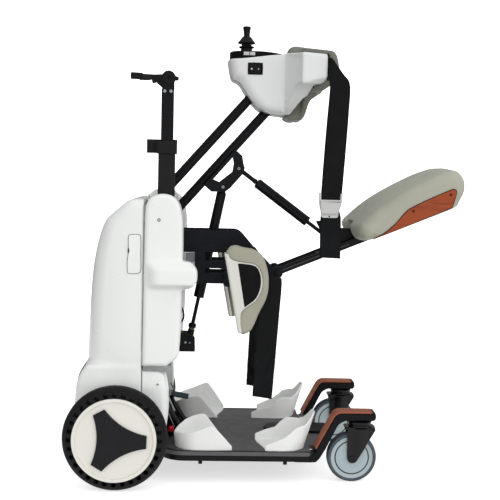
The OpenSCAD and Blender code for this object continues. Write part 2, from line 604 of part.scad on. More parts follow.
base_frame();
drive_axles();
footplate();
toe_cups();
heel_cups();
castor_arm_left();
castor_arm_right();
arm_trims();
rear_cover();
lower_cover();
tail_panel();
column_core();
column_cover_left();
column_cover_right();
seat_support_fork();
knee_shells();
knee_cushions();
calf_straps();
mast_outer_tube();
mast_collar();
battery_pack();
motor_controller();
spring_bracket();
release_cable();
pivot_pins();
drive_tyre_left();
drive_tyre_right();
wheel_disc_left();
wheel_disc_right();
wheel_cap_left();
wheel_cap_right();
castor_fork_left();
castor_fork_right();
castor_wheel_left();
castor_wheel_right();
mast_inner_tube();
push_handle();
lower_link();
gusset_pins();
upper_link();
console_shell();
console_panel();
console_pins();
chest_pad();
hip_belt();
belt_buckle();
joystick_gimbal();
joystick_stick();
lift_rod();
lift_cylinder();
seat_frame();
seat_strut_cylinder();
seat_strut_rod();
seat_pad_left();
seat_pad_right();
seat_panel_left();
seat_panel_right();
brake_pedal();
clutch_lever();
charge_flap();
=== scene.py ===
import math
import bpy
import numpy as np
from mathutils import Matrix, Vector


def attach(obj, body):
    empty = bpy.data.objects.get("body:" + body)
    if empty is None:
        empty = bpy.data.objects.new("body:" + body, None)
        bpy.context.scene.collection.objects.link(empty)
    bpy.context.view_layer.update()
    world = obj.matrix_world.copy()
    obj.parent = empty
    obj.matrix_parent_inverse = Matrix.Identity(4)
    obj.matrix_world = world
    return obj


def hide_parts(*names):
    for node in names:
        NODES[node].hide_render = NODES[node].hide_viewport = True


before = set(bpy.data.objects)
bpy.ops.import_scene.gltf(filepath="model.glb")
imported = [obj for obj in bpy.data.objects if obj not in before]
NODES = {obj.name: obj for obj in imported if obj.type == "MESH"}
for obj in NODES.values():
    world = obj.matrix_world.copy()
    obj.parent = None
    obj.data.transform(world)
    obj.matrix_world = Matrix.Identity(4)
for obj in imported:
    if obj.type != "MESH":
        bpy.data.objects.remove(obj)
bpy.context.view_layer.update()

RX = 146.316          # millimetres between the working origin and the part's origin
KEY, TOP, AMB = 9, 4, (0.55, 0.73)
scene = bpy.context.scene
scene.view_settings.view_transform = "Standard"


# ------------------------------------------------------------------ camera
def camera():
    psi, phi, rho = (math.radians(a) for a in (2.428, 4.376, 1.311))
    f = Vector((math.sin(psi) * math.cos(phi), math.cos(psi) * math.cos(phi), -math.sin(phi)))
    r = Vector((math.cos(psi), -math.sin(psi), 0))
    u = r.cross(f)
    r2 = r * math.cos(rho) + u * math.sin(rho)
    u2 = u * math.cos(rho) - r * math.sin(rho)
    data = bpy.data.cameras.new("camera")
    data.sensor_width = 36
    data.lens = 974.288 / 500 * 36
    data.clip_end = 60
    cam = bpy.data.objects.new("camera", data)
    scene.collection.objects.link(cam)
    m = Matrix.Identity(4)
    for i in range(3):
        m[i][0], m[i][1], m[i][2] = r2[i], u2[i], -f[i]
    m[0][3], m[1][3], m[2][3] = -RX / 1000, -2.600698, 0.76712
    cam.matrix_world = m
    scene.camera = cam


camera()


# ------------------------------------------------------------------ materials
def lin(*c):
    return tuple((v / 255 / 12.92 if v / 255 <= 0.04045 else ((v / 255 + 0.055) / 1.055) ** 2.4) for v in c) + (1.0,)


class Mat:
    def __init__(self, name):
        self.m = bpy.data.materials.new(name)
        self.m.use_nodes = True
        self.t = self.m.node_tree
        self.b = self.t.nodes["Principled BSDF"]
        self.co = self.t.nodes.new("ShaderNodeTexCoord").outputs["Object"]

    def put(self, **k):
        for a, v in k.items():
            self.b.inputs[a.replace("_", " ")].default_value = v
        return self

    def map(self, scale=(1, 1, 1), rot=(0, 0, 0)):
        n = self.t.nodes.new("ShaderNodeMapping")
        n.inputs["Scale"].default_value = scale
        n.inputs["Rotation"].default_value = rot
        self.t.links.new(self.co, n.inputs["Vector"])
        return n.outputs[0]

    def noise(self, scale, detail=3.0, rough=0.55, vec=None, distort=0.0):
        n = self.t.nodes.new("ShaderNodeTexNoise")
        n.inputs["Scale"].default_value = scale
        n.inputs["Detail"].default_value = detail
        n.inputs["Roughness"].default_value = rough
        n.inputs["Distortion"].default_value = distort
        self.t.links.new(vec or self.co, n.inputs["Vector"])
        return n.outputs["Fac"]

    def voro(self, scale, feature="F1", vec=None):
        n = self.t.nodes.new("ShaderNodeTexVoronoi")
        n.feature = feature
        n.inputs["Scale"].default_value = scale
        self.t.links.new(vec or self.co, n.inputs["Vector"])
        return n.outputs["Distance"]

    def wave(self, scale, axis="X", vec=None, distort=0.0, profile="SIN"):
        n = self.t.nodes.new("ShaderNodeTexWave")
        n.bands_direction = axis
        n.wave_profile = profile
        n.inputs["Scale"].default_value = scale
        n.inputs["Distortion"].default_value = distort
        self.t.links.new(vec or self.co, n.inputs["Vector"])
        return n.outputs["Fac"]

    def math(self, op, a, b):
        n = self.t.nodes.new("ShaderNodeMath")
        n.operation = op
        for i, v in enumerate((a, b)):
            if isinstance(v, (int, float)):
                n.inputs[i].default_value = v
            else:
                self.t.links.new(v, n.inputs[i])
        return n.outputs[0]

    def ramp(self, fac, stops):
        n = self.t.nodes.new("ShaderNodeValToRGB")
        e = n.color_ramp.elements
        while len(e) < len(stops):
            e.new(0.5)
        for i, (p, c) in enumerate(stops):
            e[i].position = p
            e[i].color = c if not isinstance(c, (int, float)) else (c, c, c, 1)
        self.t.links.new(fac, n.inputs[0])
        return n.outputs[0]

    def to(self, out, socket):
        self.t.links.new(out, self.b.inputs[socket])
        return self

    def bump(self, height, strength=0.2, distance=0.0004):
        n = self.t.nodes.new("ShaderNodeBump")
        n.inputs["Strength"].default_value = strength
        n.inputs["Distance"].default_value = distance
        self.t.links.new(height, n.inputs["Height"])
        last = self.b.inputs["Normal"].links
        if last:
            self.t.links.new(last[0].from_socket, n.inputs["Normal"])
        self.t.links.new(n.outputs[0], self.b.inputs["Normal"])
        return self


def shade(c, k):
    return tuple(min(1.0, v * k) for v in c[:3]) + (1.0,)


def plastic(name, c, rough=(0.27, 0.33), coat=0.15, peel=0.02, vary=0.012, spec=0.45):
    m = Mat(name).put(Coat_Weight=coat, Coat_Roughness=0.12, Specular_IOR_Level=spec)
    m.to(m.ramp(m.noise(7, 3), [(0.3, shade(c, 1 - vary)), (0.7, shade(c, 1 + vary * 0.4))]), "Base Color")
    m.to(m.ramp(m.noise(9, 3, 0.5), [(0.35, rough[0]), (0.7, rough[1])]), "Roughness")
    m.bump(m.noise(900, 2), peel, 0.0002)
    return m.m


def powder(name, c, rough=(0.34, 0.5), grain=0.28, spec=0.3):
    m = Mat(name).put(Specular_IOR_Level=spec)
    m.to(m.ramp(m.noise(22, 4), [(0.3, shade(c, 0.8)), (0.55, c), (0.78, shade(c, 1.28))]), "Base Color")
    m.to(m.ramp(m.noise(60, 4, 0.65), [(0.3, rough[0]), (0.72, rough[1])]), "Roughness")
    m.bump(m.noise(1500, 2), grain, 0.00025)
    return m.m


def hide(name, c, grain=0.42):
    m = Mat(name).put(Sheen_Weight=0.12, Sheen_Roughness=0.4)
    m.to(m.ramp(m.noise(11, 4), [(0.28, shade(c, 0.9)), (0.55, c), (0.8, shade(c, 1.06))]), "Base Color")
    m.to(m.ramp(m.noise(90, 3), [(0.3, 0.46), (0.7, 0.6)]), "Roughness")
    m.bump(m.noise(26, 3), 0.08, 0.002)
    m.bump(m.ramp(m.voro(620, "DISTANCE_TO_EDGE"), [(0.0, 0.0), (0.16, 0.85), (0.5, 1.0)]), grain, 0.00035)
    return m.m


def wood(name, dark, light, rot=(0, 0, 0), coat=0.04, spec=0.2):
    m = Mat(name).put(Coat_Weight=coat, Coat_Roughness=0.3, Specular_IOR_Level=spec)
    v = m.map((5, 34, 60), rot)
    v2 = m.map((16, 120, 420), rot)
    band = m.noise(1.6, 5, 0.6, v, 1.4)
    fibre = m.noise(3.0, 3, 0.6, v2, 0.3)
    mix = m.math("ADD", m.math("MULTIPLY", band, 0.75), m.math("MULTIPLY", fibre, 0.3))
    m.to(m.ramp(mix, [(0.3, dark), (0.5, shade(light, 0.86)), (0.72, light)]), "Base Color")
    m.to(m.ramp(fibre, [(0.3, 0.46), (0.7, 0.6)]), "Roughness")
    m.bump(fibre, 0.12, 0.0003)
    return m.m


def webbing(name, c, across="X", along="Z"):
    m = Mat(name).put(Specular_IOR_Level=0.1)
    a = m.wave(560, across)
    b = m.wave(430, along)
    weave = m.math("MULTIPLY", a, b)
    # base colour: random tone of the black webbing, plus lighter patches that are painted sheen
    m.to(m.ramp(m.noise(16, 4), [(0.3, shade(c, 0.75)), (0.55, c), (0.8, shade(c, 1.7))]), "Base Color")
    m.to(m.ramp(m.noise(24, 4), [(0.3, 0.42), (0.7, 0.62)]), "Roughness")
    m.bump(m.noise(20, 3), 0.15, 0.003)
    m.bump(weave, 0.4, 0.0004)
    return m.m


def rubber(name, c, rough=(0.55, 0.75), grain=0.35, scale=700):
    m = Mat(name).put(Specular_IOR_Level=0.16)
    m.to(m.ramp(m.noise(30, 5, 0.65), [(0.3, shade(c, 0.75)), (0.55, c), (0.78, shade(c, 1.5))]), "Base Color")
    m.to(m.ramp(m.noise(45, 4), [(0.3, rough[0]), (0.7, rough[1])]), "Roughness")
    m.bump(m.noise(scale, 3), grain, 0.0003)
    return m.m


def metal(name, c, rough=(0.2, 0.36), along=(1, 1, 14)):
    m = Mat(name).put(Metallic=1.0)
    v = m.map(along)
    m.to(m.ramp(m.noise(40, 3), [(0.3, shade(c, 0.88)), (0.7, c)]), "Base Color")
    m.to(m.ramp(m.noise(220, 3, 0.6, v), [(0.3, rough[0]), (0.7, rough[1])]), "Roughness")
    m.bump(m.noise(300, 2, 0.5, v), 0.02, 0.0001)
    return m.m


def plate_coat(name, c):
    m = Mat(name)
    m.to(m.ramp(m.noise(9, 5, 0.6), [(0.3, shade(c, 0.91)), (0.55, c), (0.8, shade(c, 1.07))]), "Base Color")
    m.to(m.ramp(m.noise(40, 4), [(0.3, 0.5), (0.7, 0.68)]), "Roughness")
    m.bump(m.voro(900), 0.35, 0.0004)
    return m.m


WHITE = plastic("white_plastic", lin(236, 238, 236))
# the console shell is the same white plastic, made greyer as painted shade
CONW = plastic("console_white_painted_shade", lin(221, 224, 222), (0.27, 0.33), 0.15, 0.02)
KNEEW = plastic("knee_plastic", lin(212, 211, 204), (0.3, 0.4), 0.08, 0.05)
CUPW = plastic("cup_plastic", lin(236, 237, 235), (0.36, 0.5), 0.05, 0.1)
CREAM = plastic("cream_disc", lin(228, 226, 217), (0.3, 0.42), 0.1, 0.08)
BLACK = powder("black_coat", lin(12, 13, 16), (0.32, 0.46), 0.2, 0.11)
SLATE = powder("slate_coat", lin(15, 18, 25), (0.36, 0.5), 0.2, 0.1)
CHARCOAL = powder("charcoal_coat", lin(25, 25, 27), (0.44, 0.58), 0.2, 0.12)
PLATE = plate_coat("plate_coat", lin(80, 80, 82))
EDGE = powder("band_coat", lin(9, 9, 10), (0.3, 0.42), 0.2, 0.14)
# near black: the own colour of black screws, plates and insets, and also of dark sheets that are painted shade in gaps
# and under parts
DARK = rubber("black_and_painted_shade", lin(8, 8, 9), (0.75, 0.9), 0.1, 600)
TRIM = plastic("black_plastic", lin(11, 11, 13), (0.34, 0.48), 0.0, 0.1, 0.1, 0.13)
GLOSS = plastic("gloss_black", lin(5, 5, 6), (0.3, 0.4), 0.0, 0.02, 0.1, 0.08)
CAPM = rubber("cap_black", lin(19, 19, 22), (0.4, 0.52), 0.25, 1100)
TYRE = rubber("tyre_black", lin(18, 18, 19), (0.55, 0.75), 0.4, 800)
TREAD = rubber("castor_tread", lin(78, 85, 94), (0.5, 0.66), 0.2, 900)
HUB = plastic("castor_hub", lin(166, 180, 184), (0.3, 0.42), 0.1, 0.06)
FORKM = powder("fork_coat", lin(10, 10, 13), (0.2, 0.32), 0.12, 0.22)
# the chest cushion is the olive hide darkened as painted shade, since it hangs in shade under the shell
CHEST = hide("chest_hide_painted_shade", lin(114, 116, 105))
OLIVE = hide("olive_hide", lin(158, 157, 140))
SEATM = hide("seat_hide", lin(168, 169, 153))
WOODP = wood("panel_wood", lin(100, 38, 16), lin(160, 72, 34), (0, math.radians(22.4), 0))
WOODT = wood("trim_wood", lin(104, 56, 40), lin(158, 92, 66))
STRAP = webbing("strap_web", lin(10, 11, 13))
STEEL = metal("steel", lin(150, 152, 155), (0.34, 0.5))
CHROME = metal("chrome", lin(224, 226, 226), (0.06, 0.16))
# satin silver of the buckle, pins and nut, and also painted highlights on the black console panel
SILVER_AND_HIGHLIGHT = plastic("satin_silver_and_painted_highlight", lin(188, 189, 187), (0.36, 0.44), 0.0, 0.03, 0.05, 0.6)
BRASS = metal("brass", lin(96, 84, 58), (0.4, 0.55))
RED = plastic("red_plastic", lin(200, 12, 36), (0.26, 0.38), 0.2, 0.05)
GRIP = rubber("grip_rubber", lin(50, 63, 70), (0.5, 0.64), 0.3, 900)
CABLE = rubber("cable_sheath", lin(18, 18, 20), (0.4, 0.55), 0.15, 600)
GREYM = powder("grey_bracket", lin(120, 123, 126), (0.4, 0.55))
# pale grey: the colour of a link rod, and also painted shade in gaps between the covers and a painted highlight line on
# the brake rods
GREY_ROD_SHADE_HIGHLIGHT = rubber("rod_grey_painted_shade_and_highlight", lin(150, 153, 152), (0.6, 0.7), 0.1, 500)
# grey used only for the painted shade of the gap round the charge flap
FLAP_GAP_SHADE = rubber("flap_gap_painted_shade", lin(104, 106, 106), (0.6, 0.7), 0.1, 500)
# mid grey for the flap latch and a ring on the castor hubs, and a painted highlight along the seat rails
MIDGREY_AND_HIGHLIGHT = rubber("mid_grey_and_painted_highlight", lin(70, 72, 72), (0.6, 0.7), 0.1, 500)


# ------------------------------------------------------------------ mesh tools
def put(name, V, F, mat, body, rep=(), slot=None, smooth=True, sharp=None):
    """A mesh in working millimetres becomes a piece in the part's frame."""
    V = np.array(V, float)
    V = np.column_stack(((V[:, 0] - RX) / 1000, V[:, 1] / 1000, V[:, 2] / 1000))
    me = bpy.data.meshes.new(name)
    me.from_pydata(V.tolist(), [], [[int(i) for i in f] for f in F])
    me.validate()
    me.update()
    me.polygons.foreach_set("use_smooth", [smooth] * len(me.polygons))
    if sharp is not None:
        me.set_sharp_from_angle(angle=math.radians(sharp))
    mats = mat if isinstance(mat, (list, tuple)) else [mat]
    for m in mats:
        me.materials.append(m)
    o = bpy.data.objects.new(name, me)
    scene.collection.objects.link(o)
    if sharp is not None:
        n = o.modifiers.new("normals", "WEIGHTED_NORMAL")
        n.keep_sharp = True
    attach(o, body)
    if rep:
        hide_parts(*([rep] if isinstance(rep, str) else rep))
    return o


def mir(vf):
    V, F = vf
    return np.array(V, float) * [1, -1, 1], [list(f)[::-1] for f in F]


def join(*parts):
    V, F, n = [], [], 0
    for v, f in parts:
        V += [list(map(float, p)) for p in v]
        F += [[i + n for i in q] for q in f]
        n = len(V)
    return V, F


def cr(pts, n=6, closed=False):
    """Points of a smooth curve through pts."""
    p = [np.array(q, float) for q in pts]
    m = len(p)
    out = []
    for i in range(m if closed else m - 1):
        a = p[(i - 1) % m] if closed or i > 0 else 2 * p[0] - p[1]
        b, c = p[i], p[(i + 1) % m]
        d = p[(i + 2) % m] if closed or i + 2 < m else 2 * p[-1] - p[-2]
        for k in range(n):
            t = k / n
            out.append(0.5 * (2 * b + (c - a) * t + (2 * a - 5 * b + 4 * c - d) * t * t + (3 * b - a - 3 * c + d) * t ** 3))
    if not closed:
        out.append(p[-1])
    return [tuple(float(x) for x in q) for q in out]


def area2(pts):
    return sum(a[0] * b[1] - b[0] * a[1] for a, b in zip(pts, pts[1:] + pts[:1])) / 2


def inset(pts, d):
    """The closed outline moved inwards by d."""
    p = np.array(pts, float)
    if area2([tuple(q) for q in p]) < 0:
        p = p[::-1]
    a, c = np.roll(p, 1, 0), np.roll(p, -1, 0)
    e1, e2 = p - a, c - p
    n1 = np.column_stack((-e1[:, 1], e1[:, 0])) / np.maximum(np.linalg.norm(e1, axis=1), 1e-9)[:, None]
    n2 = np.column_stack((-e2[:, 1], e2[:, 0])) / np.maximum(np.linalg.norm(e2, axis=1), 1e-9)[:, None]
    m = n1 + n2
    k = np.maximum((m * m).sum(1) / 2, 0.35)
    return p + m / k[:, None] * d


def slab(pts, y0, y1, r=2.0, seg=3, both=True, lift=None):
    """A side-view outline from y0 to y1 with rounded edges; y0 is the near face."""
    rings = []
    steps = [math.pi / 2 * i / seg for i in range(seg + 1)]
    for a in steps:
        rings.append((r * (1 - math.sin(a)), y0 + r * (1 - math.cos(a))))
    if both:
        for a in steps[::-1]:
            rings.append((r * (1 - math.sin(a)), y1 - r * (1 - math.cos(a))))
    else:
        rings.append((0, y1))
    V, F = [], []
    n = len(pts)
    for d, y in rings:
        for x, z in inset(pts, d):
            V.append((x, y, z))
    for k in range(len(rings) - 1):
        for i in range(n):
            j = (i + 1) % n
            F.append((k * n + i, k * n + j, (k + 1) * n + j, (k + 1) * n + i))
    F.append(list(range(n))[::-1])
    F.append([(len(rings) - 1) * n + i for i in range(n)])
    # counter-clockwise in x,z seen from -Y
    F = [list(f)[::-1] for f in F]
    return V, F


def plan(pts, z0, z1, r=2.0, seg=3, both=True):
    """A plan outline (x, y) from z0 up to z1 with rounded edges."""
    V, F = slab([(x, y) for x, y in pts], z0, z1, r, seg, both)
    V = [(x, z, y) for x, y, z in V]
    return V, [list(f)[::-1] for f in F]


def lathe(prof, seg=48, cap=True):
    """Rings of (radius, height) about +Z at the origin, from low to high outside."""
    V, F = [], []
    for r, h in prof:
        for i in range(seg):
            a = 2 * math.pi * i / seg
            V.append((r * math.cos(a), r * math.sin(a), h))
    m = len(prof)
    for k in range(m - 1):
        for i in range(seg):
            j = (i + 1) % seg
            F.append([k * seg + i, k * seg + j, (k + 1) * seg + j, (k + 1) * seg + i])
    if cap:
        F.append(list(range(seg))[::-1])
        F.append([(m - 1) * seg + i for i in range(seg)])
    return V, F


def place(vf, pos, axis=(0, 0, 1), spin=0.0):
    """Turns a lathe's +Z to axis and moves it to pos."""
    V, F = vf
    q = Vector((0, 0, 1)).rotation_difference(Vector(axis).normalized()).to_matrix() @ Matrix.Rotation(spin, 3, "Z")
    return [tuple(Vector(pos) + q @ Vector(v)) for v in V], F


def head(r, h, pos, axis, seg=20):
    """A round screw head with a hexagon recess."""
    prof = [(r, 0), (r, h * 0.55), (r * 0.94, h * 0.8), (r * 0.8, h), (r * 0.5, h)]
    V, F = lathe(prof, seg, False)
    n = len(prof)
    base = len(V)
    for i in range(seg):
        a = 2 * math.pi * i / seg
        k = r * 0.42 / max(abs(math.cos((a % (math.pi / 3)) - math.pi / 6)), 0.5)
        V.append((k * math.cos(a), k * math.sin(a), h))
        V.append((k * math.cos(a), k * math.sin(a), h * 0.3))
    for i in range(seg):
        j = (i + 1) % seg
        F.append([(n - 1) * seg + i, (n - 1) * seg + j, base + 2 * j, base + 2 * i])
        F.append([base + 2 * i, base + 2 * j, base + 2 * j + 1, base + 2 * i + 1])
    F.append([base + 2 * i + 1 for i in range(seg)])
    F.append(list(range(seg))[::-1])
    return place((V, F), pos, axis)


def hexnut(r, h, pos, axis, bore=0.0):
    prof = [(r * 0.92, 0), (r, h * 0.12), (r, h * 0.88), (r * 0.9, h)]
    return place(lathe(prof, 6), pos, axis)


def tube(path, r, seg=12, caps=True):
    P = [Vector(p) for p in path]
    V, F = [], []
    up = Vector((0, 1, 0))
    t0 = (P[1] - P[0]).normalized()
    if abs(t0.dot(up)) > 0.9:
        up = Vector((1, 0, 0))
    nrm = (up - t0 * up.dot(t0)).normalized()
    for i, p in enumerate(P):
        t = (P[min(i + 1, len(P) - 1)] - P[max(i - 1, 0)]).normalized()
        nrm = (nrm - t * nrm.dot(t)).normalized()
        b = t.cross(nrm)
        rr = r[i] if isinstance(r, (list, tuple)) else r
        for k in range(seg):
            a = 2 * math.pi * k / seg
            V.append(tuple(p + (nrm * math.cos(a) + b * math.sin(a)) * rr))
    for i in range(len(P) - 1):
        for k in range(seg):
            j = (k + 1) % seg
            F.append([i * seg + k, i * seg + j, (i + 1) * seg + j, (i + 1) * seg + k])
    if caps:
        F.append(list(range(seg))[::-1])
        F.append([(len(P) - 1) * seg + k for k in range(seg)])
    return V, F


def grid(rows):
    """Quads between rows of equal length."""
    V = [tuple(p) for r in rows for p in r]
    n = len(rows[0])
    return V, [[i * n + j, i * n + j + 1, (i + 1) * n + j + 1, (i + 1) * n + j] for i in range(len(rows) - 1) for j in range(n - 1)]


def thick(o, t, offset=-1.0):
    m = o.modifiers.new("thick", "SOLIDIFY")
    m.thickness = t / 1000
    m.offset = offset
    m.use_even_offset = True
    return o


def round_edges(o, w, seg=2, angle=35):
    m = o.modifiers.new("edges", "BEVEL")
    m.width = w / 1000
    m.segments = seg
    m.limit_method = "ANGLE"
    m.angle_limit = math.radians(angle)
    n = o.modifiers.new("normals", "WEIGHTED_NORMAL")
    n.keep_sharp = True
    return o


# ------------------------------------------------------------------ distance fields
def poly(x, z, pts):
    pts = np.asarray(pts, float)
    d = np.full(x.shape, 1e18)
    s = np.ones(x.shape)
    j = len(pts) - 1
    for i in range(len(pts)):
        vi, vj = pts[i], pts[j]
        ex, ez = vj - vi
        wx, wz = x - vi[0], z - vi[1]
        t = np.clip((wx * ex + wz * ez) / (ex * ex + ez * ez), 0, 1)
        d = np.minimum(d, (wx - ex * t) ** 2 + (wz - ez * t) ** 2)
        c1, c2, c3 = z >= vi[1], z < vj[1], ex * wz > ez * wx
        s = np.where((c1 & c2 & c3) | (~c1 & ~c2 & ~c3), -s, s)
        j = i
    return s * np.sqrt(d)


def rex(a, b, r):
    a, b = a + r, b + r
    return np.minimum(np.maximum(a, b), 0) + np.hypot(np.maximum(a, 0), np.maximum(b, 0)) - r


def smin(a, b, k):
    h = np.clip(0.5 + 0.5 * (b - a) / k, 0, 1)
    return b + (a - b) * h - k * h * (1 - h)


def smax(a, b, k):
    return -smin(-a, -b, k)


def step(a, b, x):
    t = np.clip((x - a) / (b - a), 0, 1)
    return t * t * (3 - 2 * t)


def nets(f, lo, hi, h):
    """Quad mesh of f = 0, with every point moved onto the surface."""
    lo = np.array(lo, float)
    n = [int(math.ceil((hi[i] - lo[i]) / h)) + 1 for i in range(3)]
    ax = [lo[i] + h * np.arange(n[i]) for i in range(3)]
    Y, Z = np.meshgrid(ax[1], ax[2], indexing="ij")
    D = np.empty(n)
    for i in range(n[0]):
        D[i] = f(np.full(Y.size, ax[0][i]), Y.ravel(), Z.ravel()).reshape(n[1], n[2])
    S = D < 0
    c = np.zeros([m - 1 for m in n], int)
    corner = [(a, b, d) for a in (0, 1) for b in (0, 1) for d in (0, 1)]
    for a, b, d in corner:
        c += S[a:n[0] - 1 + a, b:n[1] - 1 + b, d:n[2] - 1 + d]
    act = (c > 0) & (c < 8)
    idx = -np.ones(c.shape, int)
    idx[act] = np.arange(act.sum())
    C = np.argwhere(act)
    pos, cnt = np.zeros((len(C), 3)), np.zeros(len(C))
    for a in range(3):
        for o in corner:
            if o[a]:
                continue
            q = list(o)
            q[a] = 1
            A, B = D[tuple((C + o).T)], D[tuple((C + q).T)]
            hit = (A < 0) != (B < 0)
            t = np.where(hit, A / np.where(hit, A - B, 1), 0)
            p = C + np.array(o, float)
            p[:, a] += t
            pos += p * hit[:, None]
            cnt += hit
    P = lo + h * pos / cnt[:, None]
    F = []
    for a in range(3):
        b, d = (a + 1) % 3, (a + 2) % 3
        s0, s1 = [slice(None)] * 3, [slice(None)] * 3
        s0[a], s1[a] = slice(0, n[a] - 1), slice(1, n[a])
        A, B = S[tuple(s0)], S[tuple(s1)]
        E = np.argwhere(A != B)
        E = E[(E[:, b] >= 1) & (E[:, b] <= n[b] - 2) & (E[:, d] >= 1) & (E[:, d] <= n[d] - 2)]
        ins = A[tuple(E.T)]

        def cell(i, j):
            G = E.copy()
            G[:, b] -= i
            G[:, d] -= j
            return idx[tuple(G.T)]
        q = np.stack([cell(1, 1), cell(0, 1), cell(0, 0), cell(1, 0)], 1)
        q[~ins] = q[~ins][:, ::-1]
        F.append(q)
    F = np.concatenate(F)
    e = 0.05
    for _ in range(3):
        x, y, z = P.T
        d = f(x, y, z)
        g = np.stack([(f(x + e, y, z) - f(x - e, y, z)), (f(x, y + e, z) - f(x, y - e, z)), (f(x, y, z + e) - f(x, y, z - e))], 1) / (2 * e)
        s = -(d / ((g * g).sum(1) + 1e-6))[:, None] * g
        s *= np.minimum(1, 0.5 * h / np.maximum(np.linalg.norm(s, axis=1), 1e-9))[:, None]
        P = P + s
    return P, F.tolist()


def cyl_y(x, z, p, r):
    return np.hypot(x - p[0], z - p[1]) - r


# ------------------------------------------------------------------ frame nodes that stay
def dress(node, mat, bevel=0.0, seg=2):
    o = NODES[node]
    for s in o.material_slots:
        s.link = "OBJECT"
        s.material = mat
    if bevel:
        w = o.modifiers.new("weld", "WELD")
        w.merge_threshold = 1e-5
        d = o.modifiers.new("planar", "DECIMATE")
        d.decimate_type = "DISSOLVE"
        d.angle_limit = math.radians(1.0)
        round_edges(o, bevel, seg, 42)
    return o


for node, mat, bevel in (
        ("base_frame", EDGE, 0), ("drive_axles", STEEL, 0), ("footplate", PLATE, 0),
        ("seat_support_fork", SLATE, 0.9), ("mast_outer_tube", CHARCOAL, 1.0),
        ("mast_collar", CHARCOAL, 1.0), ("mast_inner_tube", BLACK, 0.8), ("push_handle", TRIM, 0.6),
        ("battery_pack", TRIM, 2.0), ("motor_controller", GREYM, 2.0), ("spring_bracket", BLACK, 1.0),
        ("pivot_pins", BLACK, 0), ("drive_tyre_left", TYRE, 0), ("drive_tyre_right", TYRE, 0),
        ("wheel_disc_left", CREAM, 1.2), ("wheel_disc_right", CREAM, 1.2), ("wheel_cap_left", CAPM, 1.2),
        ("wheel_cap_right", CAPM, 1.2), ("lower_link", BLACK, 0.8), ("gusset_pins", BLACK, 0),
        ("upper_link", BLACK, 0.8), ("console_pins", STEEL, 0), ("joystick_gimbal", TRIM, 0),
        ("lift_rod", BLACK, 0), ("lift_cylinder", BLACK, 0.8), ("seat_frame", BLACK, 0.8),
        ("seat_strut_cylinder", BLACK, 0.8), ("seat_strut_rod", BLACK, 0)):
    dress(node, mat, bevel)


# ------------------------------------------------------------------ white covers
def covers():
    pr = cr([(-303, 200), (-301, 291), (-298, 368), (-294, 467), (-288, 536), (-279.5, 582), (-269, 622), (-257.5, 648.5), (-245, 662), (-229, 676), (-213, 689.5), (-200, 699.4), (-188, 703), (-162, 704)], 4)
    up = pr + [(-100, 704), (-100, 200)]
    lo = cr([(-230, 291), (-290, 290), (-303, 281), (-314, 266), (-323, 240), (-326, 210), (-327, 180), (-327, 140), (-326, 101)], 4) + [(-325, 80), (-60, 80), (-60, 291)]
    lobe = cr([(-100, 101), (-98, 132), (-94, 168), (-93.5, 208), (-98, 244), (-104, 264), (-112, 274.5), (-126, 280), (-165, 282)], 4) + [(-220, 282), (-220, 80), (-100, 80)]

    def wide(x, z):
        w = 214 - 18 * np.clip((-262 - x) / 62, 0, 1) ** 2
        return w - 9 * step(232, 292, z)

    def rear(x, y, z):
        a = np.abs(y)
        w = 205 - 33 * np.clip((-178 - x) / 125, 0, 1) ** 2
        d = rex(poly(x, z, up), a - w, 19 + 20 * np.clip((-180 - x) / 80, 0, 1))
        # soft chamfer along the seam with the column
        d = smax(d, ((a - 205) + 0.55 * (x + 165.5) - 30 * step(330, 292, z)) * 0.87, 2)
        return smax(d, 240 - z, 3)

    def f(x, y, z):
        low = rex(poly(x, z, lo), np.abs(y) - wide(x, z), 10)
        d = smin(rear(x, y, z), low, 12)
        d = smax(d, x + 161.4, 1.2)
        return smax(d, 101 - z, 3)

    def g(x, y, z):
        a = np.abs(y)
        w = wide(x, z) - 12 * np.clip((x + 112) / 18, 0, 1) ** 2
        d = rex(poly(x, z, lobe), a - w, 7)
        d = smax(d, -159.8 - x, 0.8)
        d = smax(d, -np.maximum(a - 152, -137 - x), 3)
        return smax(d, 101 - z, 3)
    V, F = nets(f, (-332, -218, 96), (-157, 218, 708), 4)
    V = np.array(V)
    high = [q for q in F if V[q].mean(0)[2] > 289.6]
    deep = [q for q in F if V[q].mean(0)[2] <= 289.6]

    def part(faces):
        idx = np.unique(np.array(faces))
        m = -np.ones(len(V), int)
        m[idx] = np.arange(len(idx))
        return V[idx], m[np.array(faces)].tolist()
    put("rear_cover_shell", *part(high), WHITE, "chassis", "rear_cover", "shell_white")
    put("lower_cover_shell", *part(deep), WHITE, "chassis", "lower_cover", "shell_white")
    # dark sheet in the mouth of the lower cover: painted shade of the shaded opening
    put("cover_mouth_shade", *plan([(-137.6, -151), (-134.4, -151), (-134.4, 151), (-137.6, 151)], 84, 190, 0.6, 2), DARK, "chassis", slot="trim_black", sharp=40)
    put("lower_cover_front", *nets(g, (-163, -218, 96), (-88, 218, 292), 3), WHITE, "chassis", "lower_cover", "shell_white")


COL = cr([(-101, 290.5), (-159.5, 290.5)], 8) + cr([(-159.5, 290.5), (-159, 400), (-158.5, 480), (-158, 600), (-157, 672), (-154, 692), (-147, 705), (-136, 713), (-122, 717), (-108, 717), (-95, 714), (-82, 705), (-73, 690), (-67, 665), (-64.5, 640), (-63.5, 557), (-64, 480), (-65.5, 405), (-68, 350), (-70, 319)], 3)[1:] + [(-76, 309), (-88, 300)]


